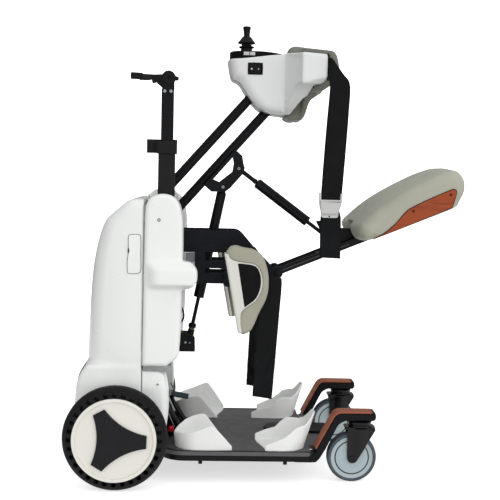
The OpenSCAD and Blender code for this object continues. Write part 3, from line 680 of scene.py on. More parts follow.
def column():
    stub = cr([(-157, 518), (-153, 491), (-130, 484), (-58, 484), (-40, 489), (-29, 503), (-26.5, 518), (-29, 534), (-40, 548), (-58, 553), (-130, 553), (-153, 547)], 5, True)

    def f(x, y, z):
        d = rex(poly(x, z, COL), np.maximum(-218 - y, y + 130), 11)
        s = rex(poly(x, z, stub), np.maximum(-240 - y, y + 190), 9)
        s = smax(s, -0.655 * (y + 218) + 0.757 * (z - 553), 4)
        s = smax(s, -0.51 * (y + 218) - 0.86 * (z - 484), 2.5)
        # the bar fades into the rear edge of the face
        s = smax(s, -0.76 * (x + 155) - 0.65 * (y + 214), 12)
        return smin(d, s, 7)
    return nets(f, (-164, -244, 286), (-22, -126, 721), 2.8)


covers()
put("tail_strip", *slab(cr([(-324.4, 216), (-321.4, 236), (-311.6, 262), (-302, 281), (-305.5, 281), (-317, 267), (-327.5, 250), (-334, 234), (-335.5, 222), (-331, 216)], 3, True), -70, 70, 2.5, 3), TRIM, "chassis", "tail_panel", "trim_black", sharp=50)
CORE = cr([(-157, 292), (-157, 500), (-157, 694), (-153, 712), (-144, 723), (-132, 728.4), (-118, 729), (-107, 728.4), (-97, 722.6), (-88, 709), (-82, 689), (-79.4, 650), (-79, 500), (-80, 336), (-86, 317)], 4) + [(-104, 292)]
for sgn, n in ((-1, "left"), (1, "right")):
    v = slab(CORE, -128, -58, 5, 4)
    put("column_inner_" + n, *(v if sgn < 0 else mir(v)), WHITE, "chassis", "column_core", "shell_white", sharp=50)
    # grey block in the gap between column and lower cover: painted shade of that gap
    v = slab([(-158, 278), (-158, 293), (-88, 293), (-102, 282), (-106, 278)], -210.5, -140, 2, 3)
    put("column_gap_shade_" + n, *(v if sgn < 0 else mir(v)), GREY_ROD_SHADE_HIGHLIGHT, "chassis", slot="shell_white", sharp=50)
for sgn, n in ((-1, "left"), (1, "right")):
    # grey strip behind the seam between rear cover and column: painted shade of the seam
    v = slab([(-166, 291.5), (-166, 690), (-154, 690), (-154, 291.5)], -202.6, -196, 0.5, 2)
    put("cover_seam_shade_" + n, *(v if sgn < 0 else mir(v)), GREY_ROD_SHADE_HIGHLIGHT, "chassis", slot="shell_white", sharp=40)
col = column()
put("column_shell_left", *col, WHITE, "chassis", "column_cover_left", "shell_white")
put("column_shell_right", *mir(col), WHITE, "chassis", "column_cover_right", "shell_white")


def flap():
    o = cr([(-198, 524), (-199, 548), (-196.5, 574), (-197, 608), (-192, 615), (-182, 616), (-172, 615.5), (-168, 608), (-167.5, 570), (-167, 530), (-172, 522), (-184, 520.5), (-194, 521)], 5, True)
    put("charge_door", *slab(o, -207.6, -204.4, 0.9), WHITE, "flap", "charge_flap", "shell_white", sharp=50)
    # grey ring round the door: painted shade of the gap round the flap
    w = [tuple(p) for p in inset(o, -1.5)]
    put("charge_gap_shade", *slab(w, -205.7, -203.5, 0.3, 2), FLAP_GAP_SHADE, "chassis", slot="trim_black", sharp=50)
    put("charge_latch", *slab(cr([(-198.4, 570), (-195.4, 572), (-194.6, 577), (-195.6, 582), (-198.2, 583)], 4, True), -208.1, -207.2, 0.3, 2), MIDGREY_AND_HIGHLIGHT, "flap", slot="trim_black", sharp=50)


flap()
for s, n in ((-1, "left"), (1, "right")):
    put("column_screw_" + n, *head(4.4, 1.6, (-123, s * 217.2, 653.5), (0, s, 0)), GREYM, "chassis", slot="pin_steel", sharp=40)
    put("cover_screw_" + n, *head(2.6, 1.4, (-120, s * 213.3, 246), (0, s, 0)), STEEL, "chassis", slot="pin_steel", sharp=40)


# ------------------------------------------------------------------ console
def console_fields():
    side = cr([(38, 1120), (39.5, 1064), (42.5, 1046), (46, 1030), (50, 1018.5), (56, 1013.5), (66, 1010.5), (74, 1003), (91, 977), (109, 953), (127, 938), (145, 930), (172, 926.5)], 4) + [(232, 926), (232, 1120)]
    a = [math.pi / 2 * i / 14 for i in range(15)]
    near = [(118 - 96 * math.cos(t) ** 0.75, -80 * math.sin(t) ** 0.75) for t in a]
    pl = near + [(232, -80), (232, 80)] + [(x, -y) for x, y in near[::-1][:-1]]
    flare = [(180, -76), (187, -81), (203, -131), (219, -183), (221, -188), (225, -190), (283, -190), (283, -184), (262, -160), (240, -120), (228, -70), (224, 0)]
    flare = flare + [(x, -y) for x, y in flare[::-1][1:]]
    well = [(30, 996), (60, 1030), (104, 1048), (170, 1048), (196, 990), (196, 880), (60, 880)]
    edge = cr([(202, 900), (203, 926), (205, 944), (208, 960), (214, 976), (226, 988), (242, 997), (264, 1003.5), (300, 1009), (330, 1012)], 4) + [(330, 1200), (0, 1200), (0, 900)]

    def f(x, y, z):
        ay = np.abs(y)
        d = rex(poly(x, z, side), poly(x, y, pl), 24)
        d = smax(d, z - (1066 + 12 * step(60, 190, x)), 2.5)
        zl = 926 + 70 * step(70, 165, ay)
        zh = 1082 - 9 * step(60, 190, ay) - 0.07 * np.clip(x - 222, 0, 70)
        s = rex(poly(x, y, flare), np.maximum(zl - z, z - zh) * 0.85, 6)
        d = smin(d, s, 5)
        d = rex(d, poly(x, z, edge) + (5 - 0.9 * np.clip(190 - ay, 0, 40)) * step(70, 150, ay), 2)
        d = smax(d, -rex(poly(x, z, well), ay - 24, 3), 3)
        return smax(d, -np.maximum(np.hypot(x - 89, y) - 27, 1042 - z), 1)
    return f


CON = console_fields()
put("console_body", *nets(CON, (34, -196, 920), (290, 196, 1090), 3), CONW, "console", "console_shell", "shell_white")


def panel():
    a = [math.radians(90 + 180 * i / 30) for i in range(31)]
    o = [(106 - 61 * abs(math.cos(t)) ** 0.62, math.copysign(61 * abs(math.sin(t)) ** 0.62, math.sin(t))) for t in a]
    o = o + cr([(o[-1][0], o[-1][1]), (140, -58.5), (170, -48), (190, -26), (198, 0), (190, 26), (170, 48), (140, 58.5), (o[0][0], o[0][1])], 4)[1:-1]

    def f(x, y, z):
        d = rex(poly(x, y, o), np.maximum(1058 - z, z - (1087.5 - 4 * step(120, 198, x))), 1.6)
        d = smax(d, -(np.hypot(x - 89, y) - 28), 1)
        # shallow dished top round the stick
        return smax(d, -(np.hypot(np.hypot(x - 89, y) / 1.0, (z - 1106) * 1.2) - 31), 3)
    put("console_top", *nets(f, (38, -66, 1054), (204, 66, 1090), 2.2), GLOSS, "console", "console_panel", "trim_black")
    # two bright silver blocks on the near rim of the black panel: painted highlights, reflections on the glossy panel
    for i, (x0, x1) in enumerate(((80, 94.5), (96, 109.5))):
        key = [(x0, 1076), (x1, 1076), (x1, 1084.8), (x0, 1084.8)]
        yk = -60.6 - 0.4
        put(f"panel_highlight_{i}", *slab(key, yk - 0.9 + (0.9 if i == 0 else 0), yk + 3, 0.6, 2), SILVER_AND_HIGHLIGHT, "console", slot="bright_metal", sharp=40)
    for i, (x, y) in enumerate(((132, -14), (132, 14), (152, 0))):
        put(f"panel_button_{i}", *place(lathe([(6.2, 0), (6.2, 1.4), (5.6, 2.0), (4.4, 2.2), (3.6, 1.8)], 28), (x, y, 1085.2)), TRIM, "console", slot="trim_black", sharp=40)


panel()


def socket():
    y = -80.6
    o = cr([(91, 1028), (91, 1052), (94, 1055), (126, 1055), (129, 1052), (129, 1028), (126, 1025), (94, 1025)], 4, True)
    put("socket_plate", *slab(o, y - 1.0, y + 3, 0.7, 2), DARK, "console", slot="trim_black", sharp=50)
    o2 = cr([(94.5, 1030), (94.5, 1050), (96, 1051.5), (124, 1051.5), (125.5, 1050), (125.5, 1030), (124, 1028.5), (96, 1028.5)], 4, True)
    put("socket_well", *slab(o2, y - 1.5, y, 0.5, 2), TRIM, "console", slot="trim_black", sharp=50)
    for i, x in enumerate((100.5, 118)):
        put(f"socket_pin_{i}", *place(lathe([(2.6 - i * 0.8, 0), (2.6 - i * 0.8, 1.2), (1.9 - i * 0.6, 1.9), (0.6, 2.1)], 20), (x, y - 1.2, 1039), (0, -1, 0)), SILVER_AND_HIGHLIGHT, "console", slot="bright_metal")


socket()


def joystick():
    prof = [(14, 1088), (15.6, 1089.4), (15.8, 1092), (15, 1097), (14.8, 1100.4), (19.2, 1101.4), (20.2, 1103.3), (19.4, 1105.1), (14, 1106.6),
            (13.2, 1109), (13.6, 1111.2), (15, 1112.4), (22.6, 1112.8), (23.4, 1114.2), (22.8, 1115.6), (20, 1119.2), (16.2, 1124), (12.8, 1128.4), (10.4, 1131),
            (8.6, 1132), (8, 1133.6), (8.2, 1138), (8.9, 1144), (9.8, 1150), (10.5, 1154.4), (10.3, 1156), (9.2, 1157), (7.4, 1157.6), (3, 1157.2)]
    base = [(4.5, 1062), (5, 1063), (5, 1086)]
    put("joystick_knob", *place(lathe([(r, h - 1066) for r, h in base + prof], 56), (89, 0, 1066)), TRIM, "stick", "joystick_stick", "trim_black", sharp=55)


joystick()


# ------------------------------------------------------------------ pads
def chest():
    inner = [(227, 0), (229, -40), (232, -70), (243, -120), (264, -160), (284, -186)]
    outer = [(292, -192), (306, -190), (313, -178), (302, -160), (287, -138), (269, -98), (261, -50), (259, 0)]
    half = cr(inner, 4) + cr(outer, 4)
    pl = half + [(x, -y) for x, y in half[::-1][1:-1]]
    lobe = cr([(232, 1000), (222, 985), (210, 962), (203, 934), (196, 926), (190, 921), (198, 913.5), (214, 911), (232, 919), (242, 931), (247, 950), (250, 975), (246, 1000)], 4, True)

    def f(x, y, z):
        ay = np.abs(y)
        zt = 1083 - 0.094 * (x - 229) + 0.13 * (190 - np.maximum(ay, 60))
        zt = np.minimum(zt, np.interp(x, [280, 291, 300, 306, 311, 317], [1110, 1080, 1074, 1066, 1050, 1030]))
        zb = np.interp(x, [226, 236, 243, 247, 251, 271, 303, 316], [908, 919, 932, 948, 961, 978, 1000, 1006])
        zb = np.where(ay > 60, np.maximum(zb, 912 + 70 * step(56, 110, ay)), zb)
        d = rex(poly(x, y, pl), np.maximum((zb - z) * 0.75, z - zt), 7)
        d = smin(d, rex(poly(x, z, lobe), ay - 62, 12), 14)
        # roll over the rim of the shell in the middle
        roll = np.hypot(np.hypot((x - 217) / 1.35, z - 1093 + 7 * np.clip(ay / 60, 0, 1.2) ** 2), np.maximum(ay - 52, 0)) - 14.6
        d = smin(d, roll, 12)
        return smax(d, -(CON(x, y, z) - 0.6), 1.5)
    put("lip_screw", *head(2.6, 1.2, (250, -180, 989), (0, -0.7, -0.7)), DARK, "console", slot="trim_black", sharp=40)
    o = put("chest_cushion", *nets(f, (184, -198, 902), (320, 198, 1118), 3.2), CHEST, "console", "chest_pad", "pad_olive")


chest()

KN_OUT = cr([(43, 576), (52, 588), (64, 592), (82, 587), (112, 583.5), (130, 573), (141, 554), (149, 524), (150.5, 488), (144, 458), (129, 427), (116, 395), (107, 380), (92, 373), (83, 375)], 4) + [(74, 400), (50, 535)]
KN_SH = cr([(42, 571), (61, 558), (88, 552.5), (112, 549), (126, 538), (134.5, 515), (134, 487), (120, 457.5), (92, 436), (83, 419), (80.5, 378)], 4) + [(77.5, 377), (60, 478)]
KN_D = cr([(72, 549.5), (92, 548.5), (112, 545), (123.5, 536), (130.5, 516), (129.5, 488), (118, 461), (91, 439.5)], 4) + [(81.5, 495)]


def knee():
    main = [(51, 571), (58, 585), (70, 589), (90, 583), (104, 580), (109, 560), (110, 440), (106, 405), (97, 378), (90, 373), (84, 380), (70, 470)]

    def f(x, y, z):
        m = rex(poly(x, z, main), np.maximum(-195 - y, y + 140), 16)
        w = rex(poly(x, z, KN_OUT), np.maximum(-203 - y, y + 173.5), 11)
        d = smin(m, w, 14)
        # seat of the hard shell in the outer face
        return np.maximum(d, -np.maximum(poly(x, z, KN_SH) - 0.4, y + 196.5))

    def g(x, y, z):
        p = rex(poly(x, z, KN_SH), np.maximum(-202.4 - y, y + 193), 2.6)
        t = (z - 374) / 196
        bx = 81 - 38 * t
        b = rex(np.maximum(np.abs(x - bx - 2) - 5.5, np.maximum(376 - z, z - 572)), np.maximum(-202.4 - y, y + 137), 5)
        d = smin(p, b, 6)
        # shallow D recess
        return smax(d, -np.maximum(poly(x, z, KN_D), y + 200.6), 0.4)
    return nets(f, (36, -207, 366), (156, -134, 598), 2.4), nets(g, (34, -207, 368), (142, -132, 580), 1.9)


kc, ks = knee()
FAR = np.array([-17.0, 0, -9.0])


def far_knee(vf):
    V, F = mir(vf)
    return np.array(V) + FAR, F


for s, n, c, h in ((-1, "left", kc, ks), (1, "right", far_knee(kc), far_knee(ks))):
    o = put("knee_pad_" + n, *c, OLIVE, "chassis", ("knee_cushions",), "pad_olive")
    put("knee_shell_" + n, *h, KNEEW, "chassis", ("knee_shells",), "shell_white")
    d = slab([tuple(q) for q in inset(KN_D, 0.5)], -201.6, -199.8, 0.4, 2)
    put("knee_inset_" + n, *(d if s < 0 else far_knee(d)), DARK, "chassis", slot="trim_black", sharp=50)


def seat():
    ca, sa = math.cos(math.radians(22.4)), math.sin(math.radians(22.4))
    out = cr([(222, 36), (222.5, 20), (227, 8), (238, 2), (300, -30), (440, -30), (486, 11), (506, 30), (516, 51), (515.5, 70), (508, 86), (494, 94), (470, 96), (435, 94.5), (383, 89), (330, 80.5), (285, 69.5), (252, 58.4), (229, 48.6)], 4, True)

    def f(x, y, z):
        u = (x - 180) * ca + (z - 514) * sa
        v = -(x - 180) * sa + (z - 514) * ca
        v2 = v - 6.5 * step(-165, -40, y) * step(225, 320, u)
        u2 = u - 6 * step(-181, -150, y) * step(320, 500, u) - 10 * np.clip((-y - 70) / 111, 0, 1) ** 2 * (1 - step(240, 340, u))
        d = rex(poly(u2, v2, out), -181 - y, 27)
        d = smax(d, y + 0.8, 2.5)
        # the seat frame lies in the room under the inner part
        d = smax(d, -np.maximum(-49.5 - y, v - 50.4), 4)
        return smax(d, 3.2 - v, 6)
    return nets(f, (340, -186, 572), (672, -2, 816), 3.6)


sc = seat()
WP = cr([(410, 613.5), (437, 629), (459, 647.5), (472, 661), (488, 681), (501, 692.5), (532, 709), (573, 728.5), (600, 740.5), (608, 743.5), (614.5, 741.5), (616, 734.5), (611.5, 716), (606, 698.5)], 4)
for s, n, c in ((-1, "left", sc), (1, "right", mir(sc))):
    o = put("seat_cushion_" + n, *c, SEATM, "pad_" + n, "seat_pad_" + n, "pad_olive")
    d = slab(WP, -184.1, -180.6, 0.8, 2)
    put("seat_side_" + n, *(d if s < 0 else mir(d)), WOODP, "pad_" + n, "seat_panel_" + n, "wood_panel", sharp=50)
    # dark outline round the wooden panel: painted shade of the gap between panel and cushion
    e = slab([tuple(p) for p in inset(WP, -1.6)], -182.9, -180.2, 0.3, 2)
    put("seat_side_gap_shade_" + n, *(e if s < 0 else mir(e)), DARK, "pad_" + n, slot="trim_black", sharp=50)
    for k, (x, z) in enumerate(((602, 730), (509, 687))):
        put(f"seat_screw_{n}_{k}", *head(3.6, 0.9, (x, s * 183.7, z), (0, s, 0)), DARK, "pad_" + n, slot="trim_black", sharp=40)


# ------------------------------------------------------------------ foot cups
def toe(rise=0.0):
    ho = [(-90, 110), (-81, 114), (-67, 125), (-48, 125.5), (-29, 130), (-12, 136), (1, 141.5), (12, 146), (18, 146.6), (23, 143.5), (43, 121), (67, 93), (80, 78)]
    ho = [(x, z + rise * float(np.interp(x, [-81, -45, 30, 67], [0, 1, 1, 0]))) for x, z in ho]
    hi = [(-90, 110), (-81, 114), (-68, 124), (-51, 135), (-31, 142.5), (-14, 147), (-4, 147), (3, 142), (45, 88), (60, 70)]

    def f(x, y, z):
        yc = y + 166
        lean = 0.13 * np.clip(z - 82, 0, 70)
        r = np.hypot(np.minimum(x + 20, 0), yc)
        d = np.where(x < -20, r, np.abs(yc)) - 55.5 - lean + np.maximum(0, x - 10) * 0.05
        wall = np.abs(d + 2.2) - 2.2
        k = step(-46, 46, yc)
        top = np.interp(x, *zip(*ho)) * (1 - k) + np.interp(x, *zip(*hi)) * k
        w = rex(wall, np.maximum((z - top) * 0.72, 82.1 - z), 1.7)
        front = x - (67 - 21 * step(-52, 52, yc))
        floor = np.maximum(np.maximum(d, front), np.maximum(82.1 - z, z - 85.2))
        return smax(smin(w, floor, 3), x - 67, 1.2)
    return nets(f, (-92, -236, 79), (72, -96, 156 + rise), 1.9)


def heel():
    ho = [(120, 80), (150, 96), (173, 106), (195, 116), (211, 127.5), (225, 140.5), (238, 144.5), (251, 149), (259, 161), (264, 170), (269, 173.4), (280, 173)]
    hi = [(120, 92), (129, 99), (155, 109.5), (181, 116.5), (193, 129), (207, 141), (215, 142.5), (242, 142.5), (251, 149), (259, 161), (264, 170), (269, 173.4), (280, 173)]

    def f(x, y, z):
        yc = y + 166
        h = np.clip(z - 82, 0, 95)
        back = 0.24 * h * step(200, 250, x)
        r = np.hypot(np.maximum(x - 195 - back, 0), yc)
        d = np.where(x - back > 195, r, np.abs(yc)) - 56 - 0.06 * h + np.maximum(0, 185 - x) * 0.05
        wall = np.abs(d + 2.2) - 2.2
        k = step(-46, 46, yc)
        top = np.interp(x, *zip(*ho)) * (1 - k) + np.interp(x, *zip(*hi)) * k
        top = np.minimum(top, 146 + 30 * step(44, 14, np.abs(yc)))
        w = rex(wall, np.maximum((z - top) * 0.72, 82.1 - z), 1.7)
        front = (150 - 21 * step(-52, 52, yc)) - x
        floor = np.maximum(np.maximum(d, front), np.maximum(82.1 - z, z - 85.2))
        return smax(smin(w, floor, 3), front, 1.2)
    return nets(f, (124, -236, 79), (282, -96, 180), 1.9)


tc, hc = toe(), heel()
tf, ff = mir(toe(11.0))
tf = np.array(tf) + (-15.0, 0, 0)
for s, n, a, b in ((-1, "left", tc, hc), (1, "right", (tf, ff), mir(hc))):
    put("toe_cup_" + n, *a, CUPW, "chassis", ("toe_cups",), "shell_white")
    put("heel_cup_" + n, *b, CUPW, "chassis", ("heel_cups",), "shell_white")


# ------------------------------------------------------------------ castor arms and castors
def arms():
    o = cr([(226, 50.2), (272, 50.2), (282, 53), (290, 62)], 4) + cr([(303, 84), (330, 139), (337, 149), (350, 156.6), (362, 157.4)], 5) + cr([(415, 157.4), (424, 158.6), (428.4, 164), (428.6, 172), (426.5, 178), (421.4, 180.6)], 4) + [(419.6, 179.8), (419.4, 175.8)] + cr([(345, 175.8), (335, 174.6), (327.5, 169.6), (321, 160)], 5) + cr([(281, 84), (276, 74.5), (270, 71.8)], 4) + [(226, 71.8)]
    t = cr([(280.5, 84.4), (321, 161), (327.5, 170.4), (335, 175.2), (345, 176.4)], 5) + [(419, 176.4), (419.2, 180.4)] + cr([(344, 181.2), (333, 179.8), (324, 174), (317, 164)], 5) + [(276.5, 86.5)]
    for s, n in ((-1, "left"), (1, "right")):
        a = slab(o, -207, -163, 3.0, 4)
        b = slab(t, -206.4, -163.6, 1.6, 3)
        put("castor_arm_shape_" + n, *(a if s < 0 else mir(a)), BLACK, "chassis", "castor_arm_" + n, "frame_black", sharp=50)
        put("arm_wood_" + n, *(b if s < 0 else mir(b)), WOODT, "chassis", "arm_trims", "wood_panel", sharp=50)


arms()


def fork():
    leg = cr([(358, 130), (357.6, 100), (358, 66), (360.5, 55.5), (367, 50.2), (375, 50.4), (381.5, 55)], 5) + cr([(384, 60), (424, 127), (428, 135), (427, 139)], 4) + [(358.5, 139)]
    crown = cr([(352, -198), (356, -206.6), (391, -207), (422, -206.6), (428, -198), (428, -172), (422, -163.4), (391, -163), (356, -163.4), (352, -172)], 4, True)

    def f(x, y, z):
        c = np.abs(y + 185)
        L = poly(x, z, leg)
        side = rex(L, np.maximum(17.8 - c, c - 22), 1.2)
        # rounded sleeve of the swivel, cut to the outline of the leg
        sleeve = smax(rex(L, np.hypot(x - 391, y + 185) - 28.6, 2.0), 17.8 - c, 0.8)
        top = rex(poly(x, y, crown), np.maximum(135.4 - z, z - 141.2), 1.6)
        return smin(smin(side, sleeve, 2), top, 2)
    return nets(f, (349, -217, 46), (434, -153, 145), 1.9)


FORK = fork()


def castors():
    prof = [(6, -17), (13.5, -17), (14.2, -16.4), (14.4, -14.2), (40.5, -13.4), (41.2, -12.6), (43.2, -12.6), (43.9, -13.4), (52.4, -14.0), (53.2, -14.6)]
    ty = [(53.2, -14.6), (53.8, -16.0), (55.4, -16.6), (58.6, -16.2), (60.9, -14.4), (62.2, -11), (62.5, -6)]
    half = prof + ty
    full = half + [(r, -h) for r, h in half[::-1]]
    V, F = lathe(full, 72, False)
    V, F = place((V, F), (371, -185, 62.5), (0, 1, 0))
    n = len(full)
    for s, name in ((-1, "left"), (1, "right")):
        v, f = (V, F) if s < 0 else mir((V, F))
        o = put("castor_roller_" + name, v, f, [HUB, TREAD, MIDGREY_AND_HIGHLIGHT], "castor_wheel_" + name[0], "castor_wheel_" + name, "castor_grey", sharp=50)
        idx = []
        for i in range(len(f)):
            k = min(i // 72, n - 2 - i // 72)
            idx.append(1 if k >= len(prof) - 1 else 2 if k in (4, 5, 6) else 0)
        o.data.polygons.foreach_set("material_index", idx)
        parts = [FORK, place(lathe([(24, 0), (28.4, 0.8), (29, 2.6), (28.6, 5), (26.6, 6), (26.6, 7.4), (28.8, 8.2), (29.4, 10.4), (29, 13.2), (27, 14.6), (22, 15.4)], 56), (391, -185, 141))]
        parts.append(place(lathe([(7.9, 0), (7.9, 10)], 24), (391, -185, 156)))
        parts.append(place(lathe([(4.9, -23.6), (4.9, 23.6)], 20), (371, -185, 62.5), (0, 1, 0)))
        for sy in (-1, 1):
            parts.append(head(7.2, 3.4, (371, -185 + sy * 22, 62.5), (0, sy, 0), 24))
        vf = join(*parts)
        vf = vf if s < 0 else mir(vf)
        put("castor_fork_shape_" + name, *vf, FORKM, "castor_fork_" + name[0], "castor_fork_" + name, "fork_grey", sharp=45)


castors()


# ------------------------------------------------------------------ straps, belt and buckle
def ribbon(left, right, y, n=40, m=8, wob=None):
    """A flat strap between two edge curves (x, z); y gives its depth; wob is not used."""
    L, R = cr(left, n), cr(right, n)
    rows = []
    k = len(L)
    for i in range(k):
        t = i / (k - 1)
        row = []
        for j in range(m + 1):
            s = j / m
            x = L[i][0] * (1 - s) + R[i][0] * s
            z = L[i][1] * (1 - s) + R[i][1] * s
            row.append((x, y(t, s), z))
        rows.append(row)
    return grid(rows)


def straps():
    # calf straps hang from the inner face of the knee pads
    for sgn, n in ((-1, "left"), (1, "right")):
        L = [(146, 513), (131, 500), (128, 470), (124, 386), (120.5, 300), (117.5, 211)]
        R = [(172, 514), (183.5, 507), (184.2, 480), (178, 386), (172.5, 300), (166.3, 204)]
        if sgn > 0:
            L, R = L + [(115.8, 164)], R + [(163.4, 157)]

        def y(t, s):
            return -174.6 + 2.2 * math.sin(5.5 * t + 0.4) * t + 1.6 * math.sin(math.pi * s) * step(0.3, 1, np.array(t)) + 1.7 * math.sin(38 * t + 5 * s + 2 * math.sin(9 * s)) * float(step(0.66, 0.8, np.array(t)) * (1 - step(0.9, 1.0, np.array(t))))
        vf = ribbon(L, R, y, 16, 12)
        vf = vf if sgn < 0 else mir(vf)
        o = put("calf_strap_" + n, *vf, STRAP, "chassis", ("calf_straps",), "strap_black")
        thick(o, 2.2, 0)
        h = (-1 if sgn < 0 else 1)
        put("strap_rivet_" + n, *head(5.5, 2.2, (144, sgn * 173.4, 500), (0, -sgn, 0), 24), TRIM, "chassis", slot="trim_black", sharp=40)


straps()


def belt():
    L = [(285, 1006), (287, 1003), (288.4, 988), (287, 960), (283, 900), (278, 812), (272.6, 706)]
    R = [(285.4, 1060), (293.5, 1055.5), (318.6, 1022), (337.5, 994), (337, 930), (332, 830), (324.6, 708)]

    def y(t, s):
        a = float(step(0.0, 0.2, np.array(t)))
        return -187.5 - 14.6 * a - 1.3 * float(step(0.8, 1, np.array(t))) + 1.0 * math.sin(7 * t + 2.0 * s) * (1 - t) * a
    put("belt_anchor", *slab(cr([(282.6, 1008), (282.6, 1066), (285.4, 1066), (287, 1062), (288, 1010), (286.6, 1007)], 3, True), -189.6, -176, 0.8, 3), DARK, "console", slot="trim_black", sharp=50)
    o = put("hip_belt_upper", *ribbon(L, R, y, 10, 8), STRAP, "console", ("hip_belt",), "strap_black")
    thick(o, 2.3, 0)
    L = [(277, 690), (274.2, 668), (274, 620), (275, 568)]
    R = [(318, 690), (324.6, 668), (325.6, 620), (326.4, 566)]

    def y2(t, s):
        return -201.8 + 0.8 * math.sin(5 * t + 1.5 * s) * t
    o = put("hip_belt_lower", *ribbon(L, R, y2, 12, 8), STRAP, "console", ("hip_belt",), "strap_black")
    thick(o, 2.3, 0)


belt()


def buckle():
    frame_o = [(268.4, 728.6), (274.6, 728.6), (275.4, 712), (321.2, 712), (322.2, 727.6), (328, 727.2), (327, 708), (323.6, 694), (318.6, 681), (317.4, 670), (314, 667), (279, 667), (275.4, 670), (274.4, 681), (270.8, 694), (268.2, 710)]
    cover = cr([(271.6, 706), (273, 707.6), (297, 707.6), (321, 707), (322.6, 705), (319.6, 692), (315.4, 679), (313, 676.4), (296, 676), (278.6, 676.4), (276, 679), (273.6, 692)], 3, True)
    bar = cr([(278, 667.6), (279, 673), (296, 673.6), (313.6, 673), (315, 668), (296, 667)], 3, True)
    put("buckle_frame", *slab(frame_o, -204.6, -199.6, 0.9, 3), SILVER_AND_HIGHLIGHT, "console", "belt_buckle", "bright_metal", sharp=50)
    put("buckle_cover", *slab(cover, -208.0, -203.8, 1.5, 3), SILVER_AND_HIGHLIGHT, "console", slot="bright_metal", sharp=50)
    put("buckle_bar", *slab(bar, -206.4, -203.8, 0.8, 2), SILVER_AND_HIGHLIGHT, "console", slot="bright_metal", sharp=50)
    put("buckle_pin", *head(2.0, 0.8, (295.5, -206.2, 670.6), (0, -1, 0)), TRIM, "console", slot="trim_black", sharp=40)


buckle()


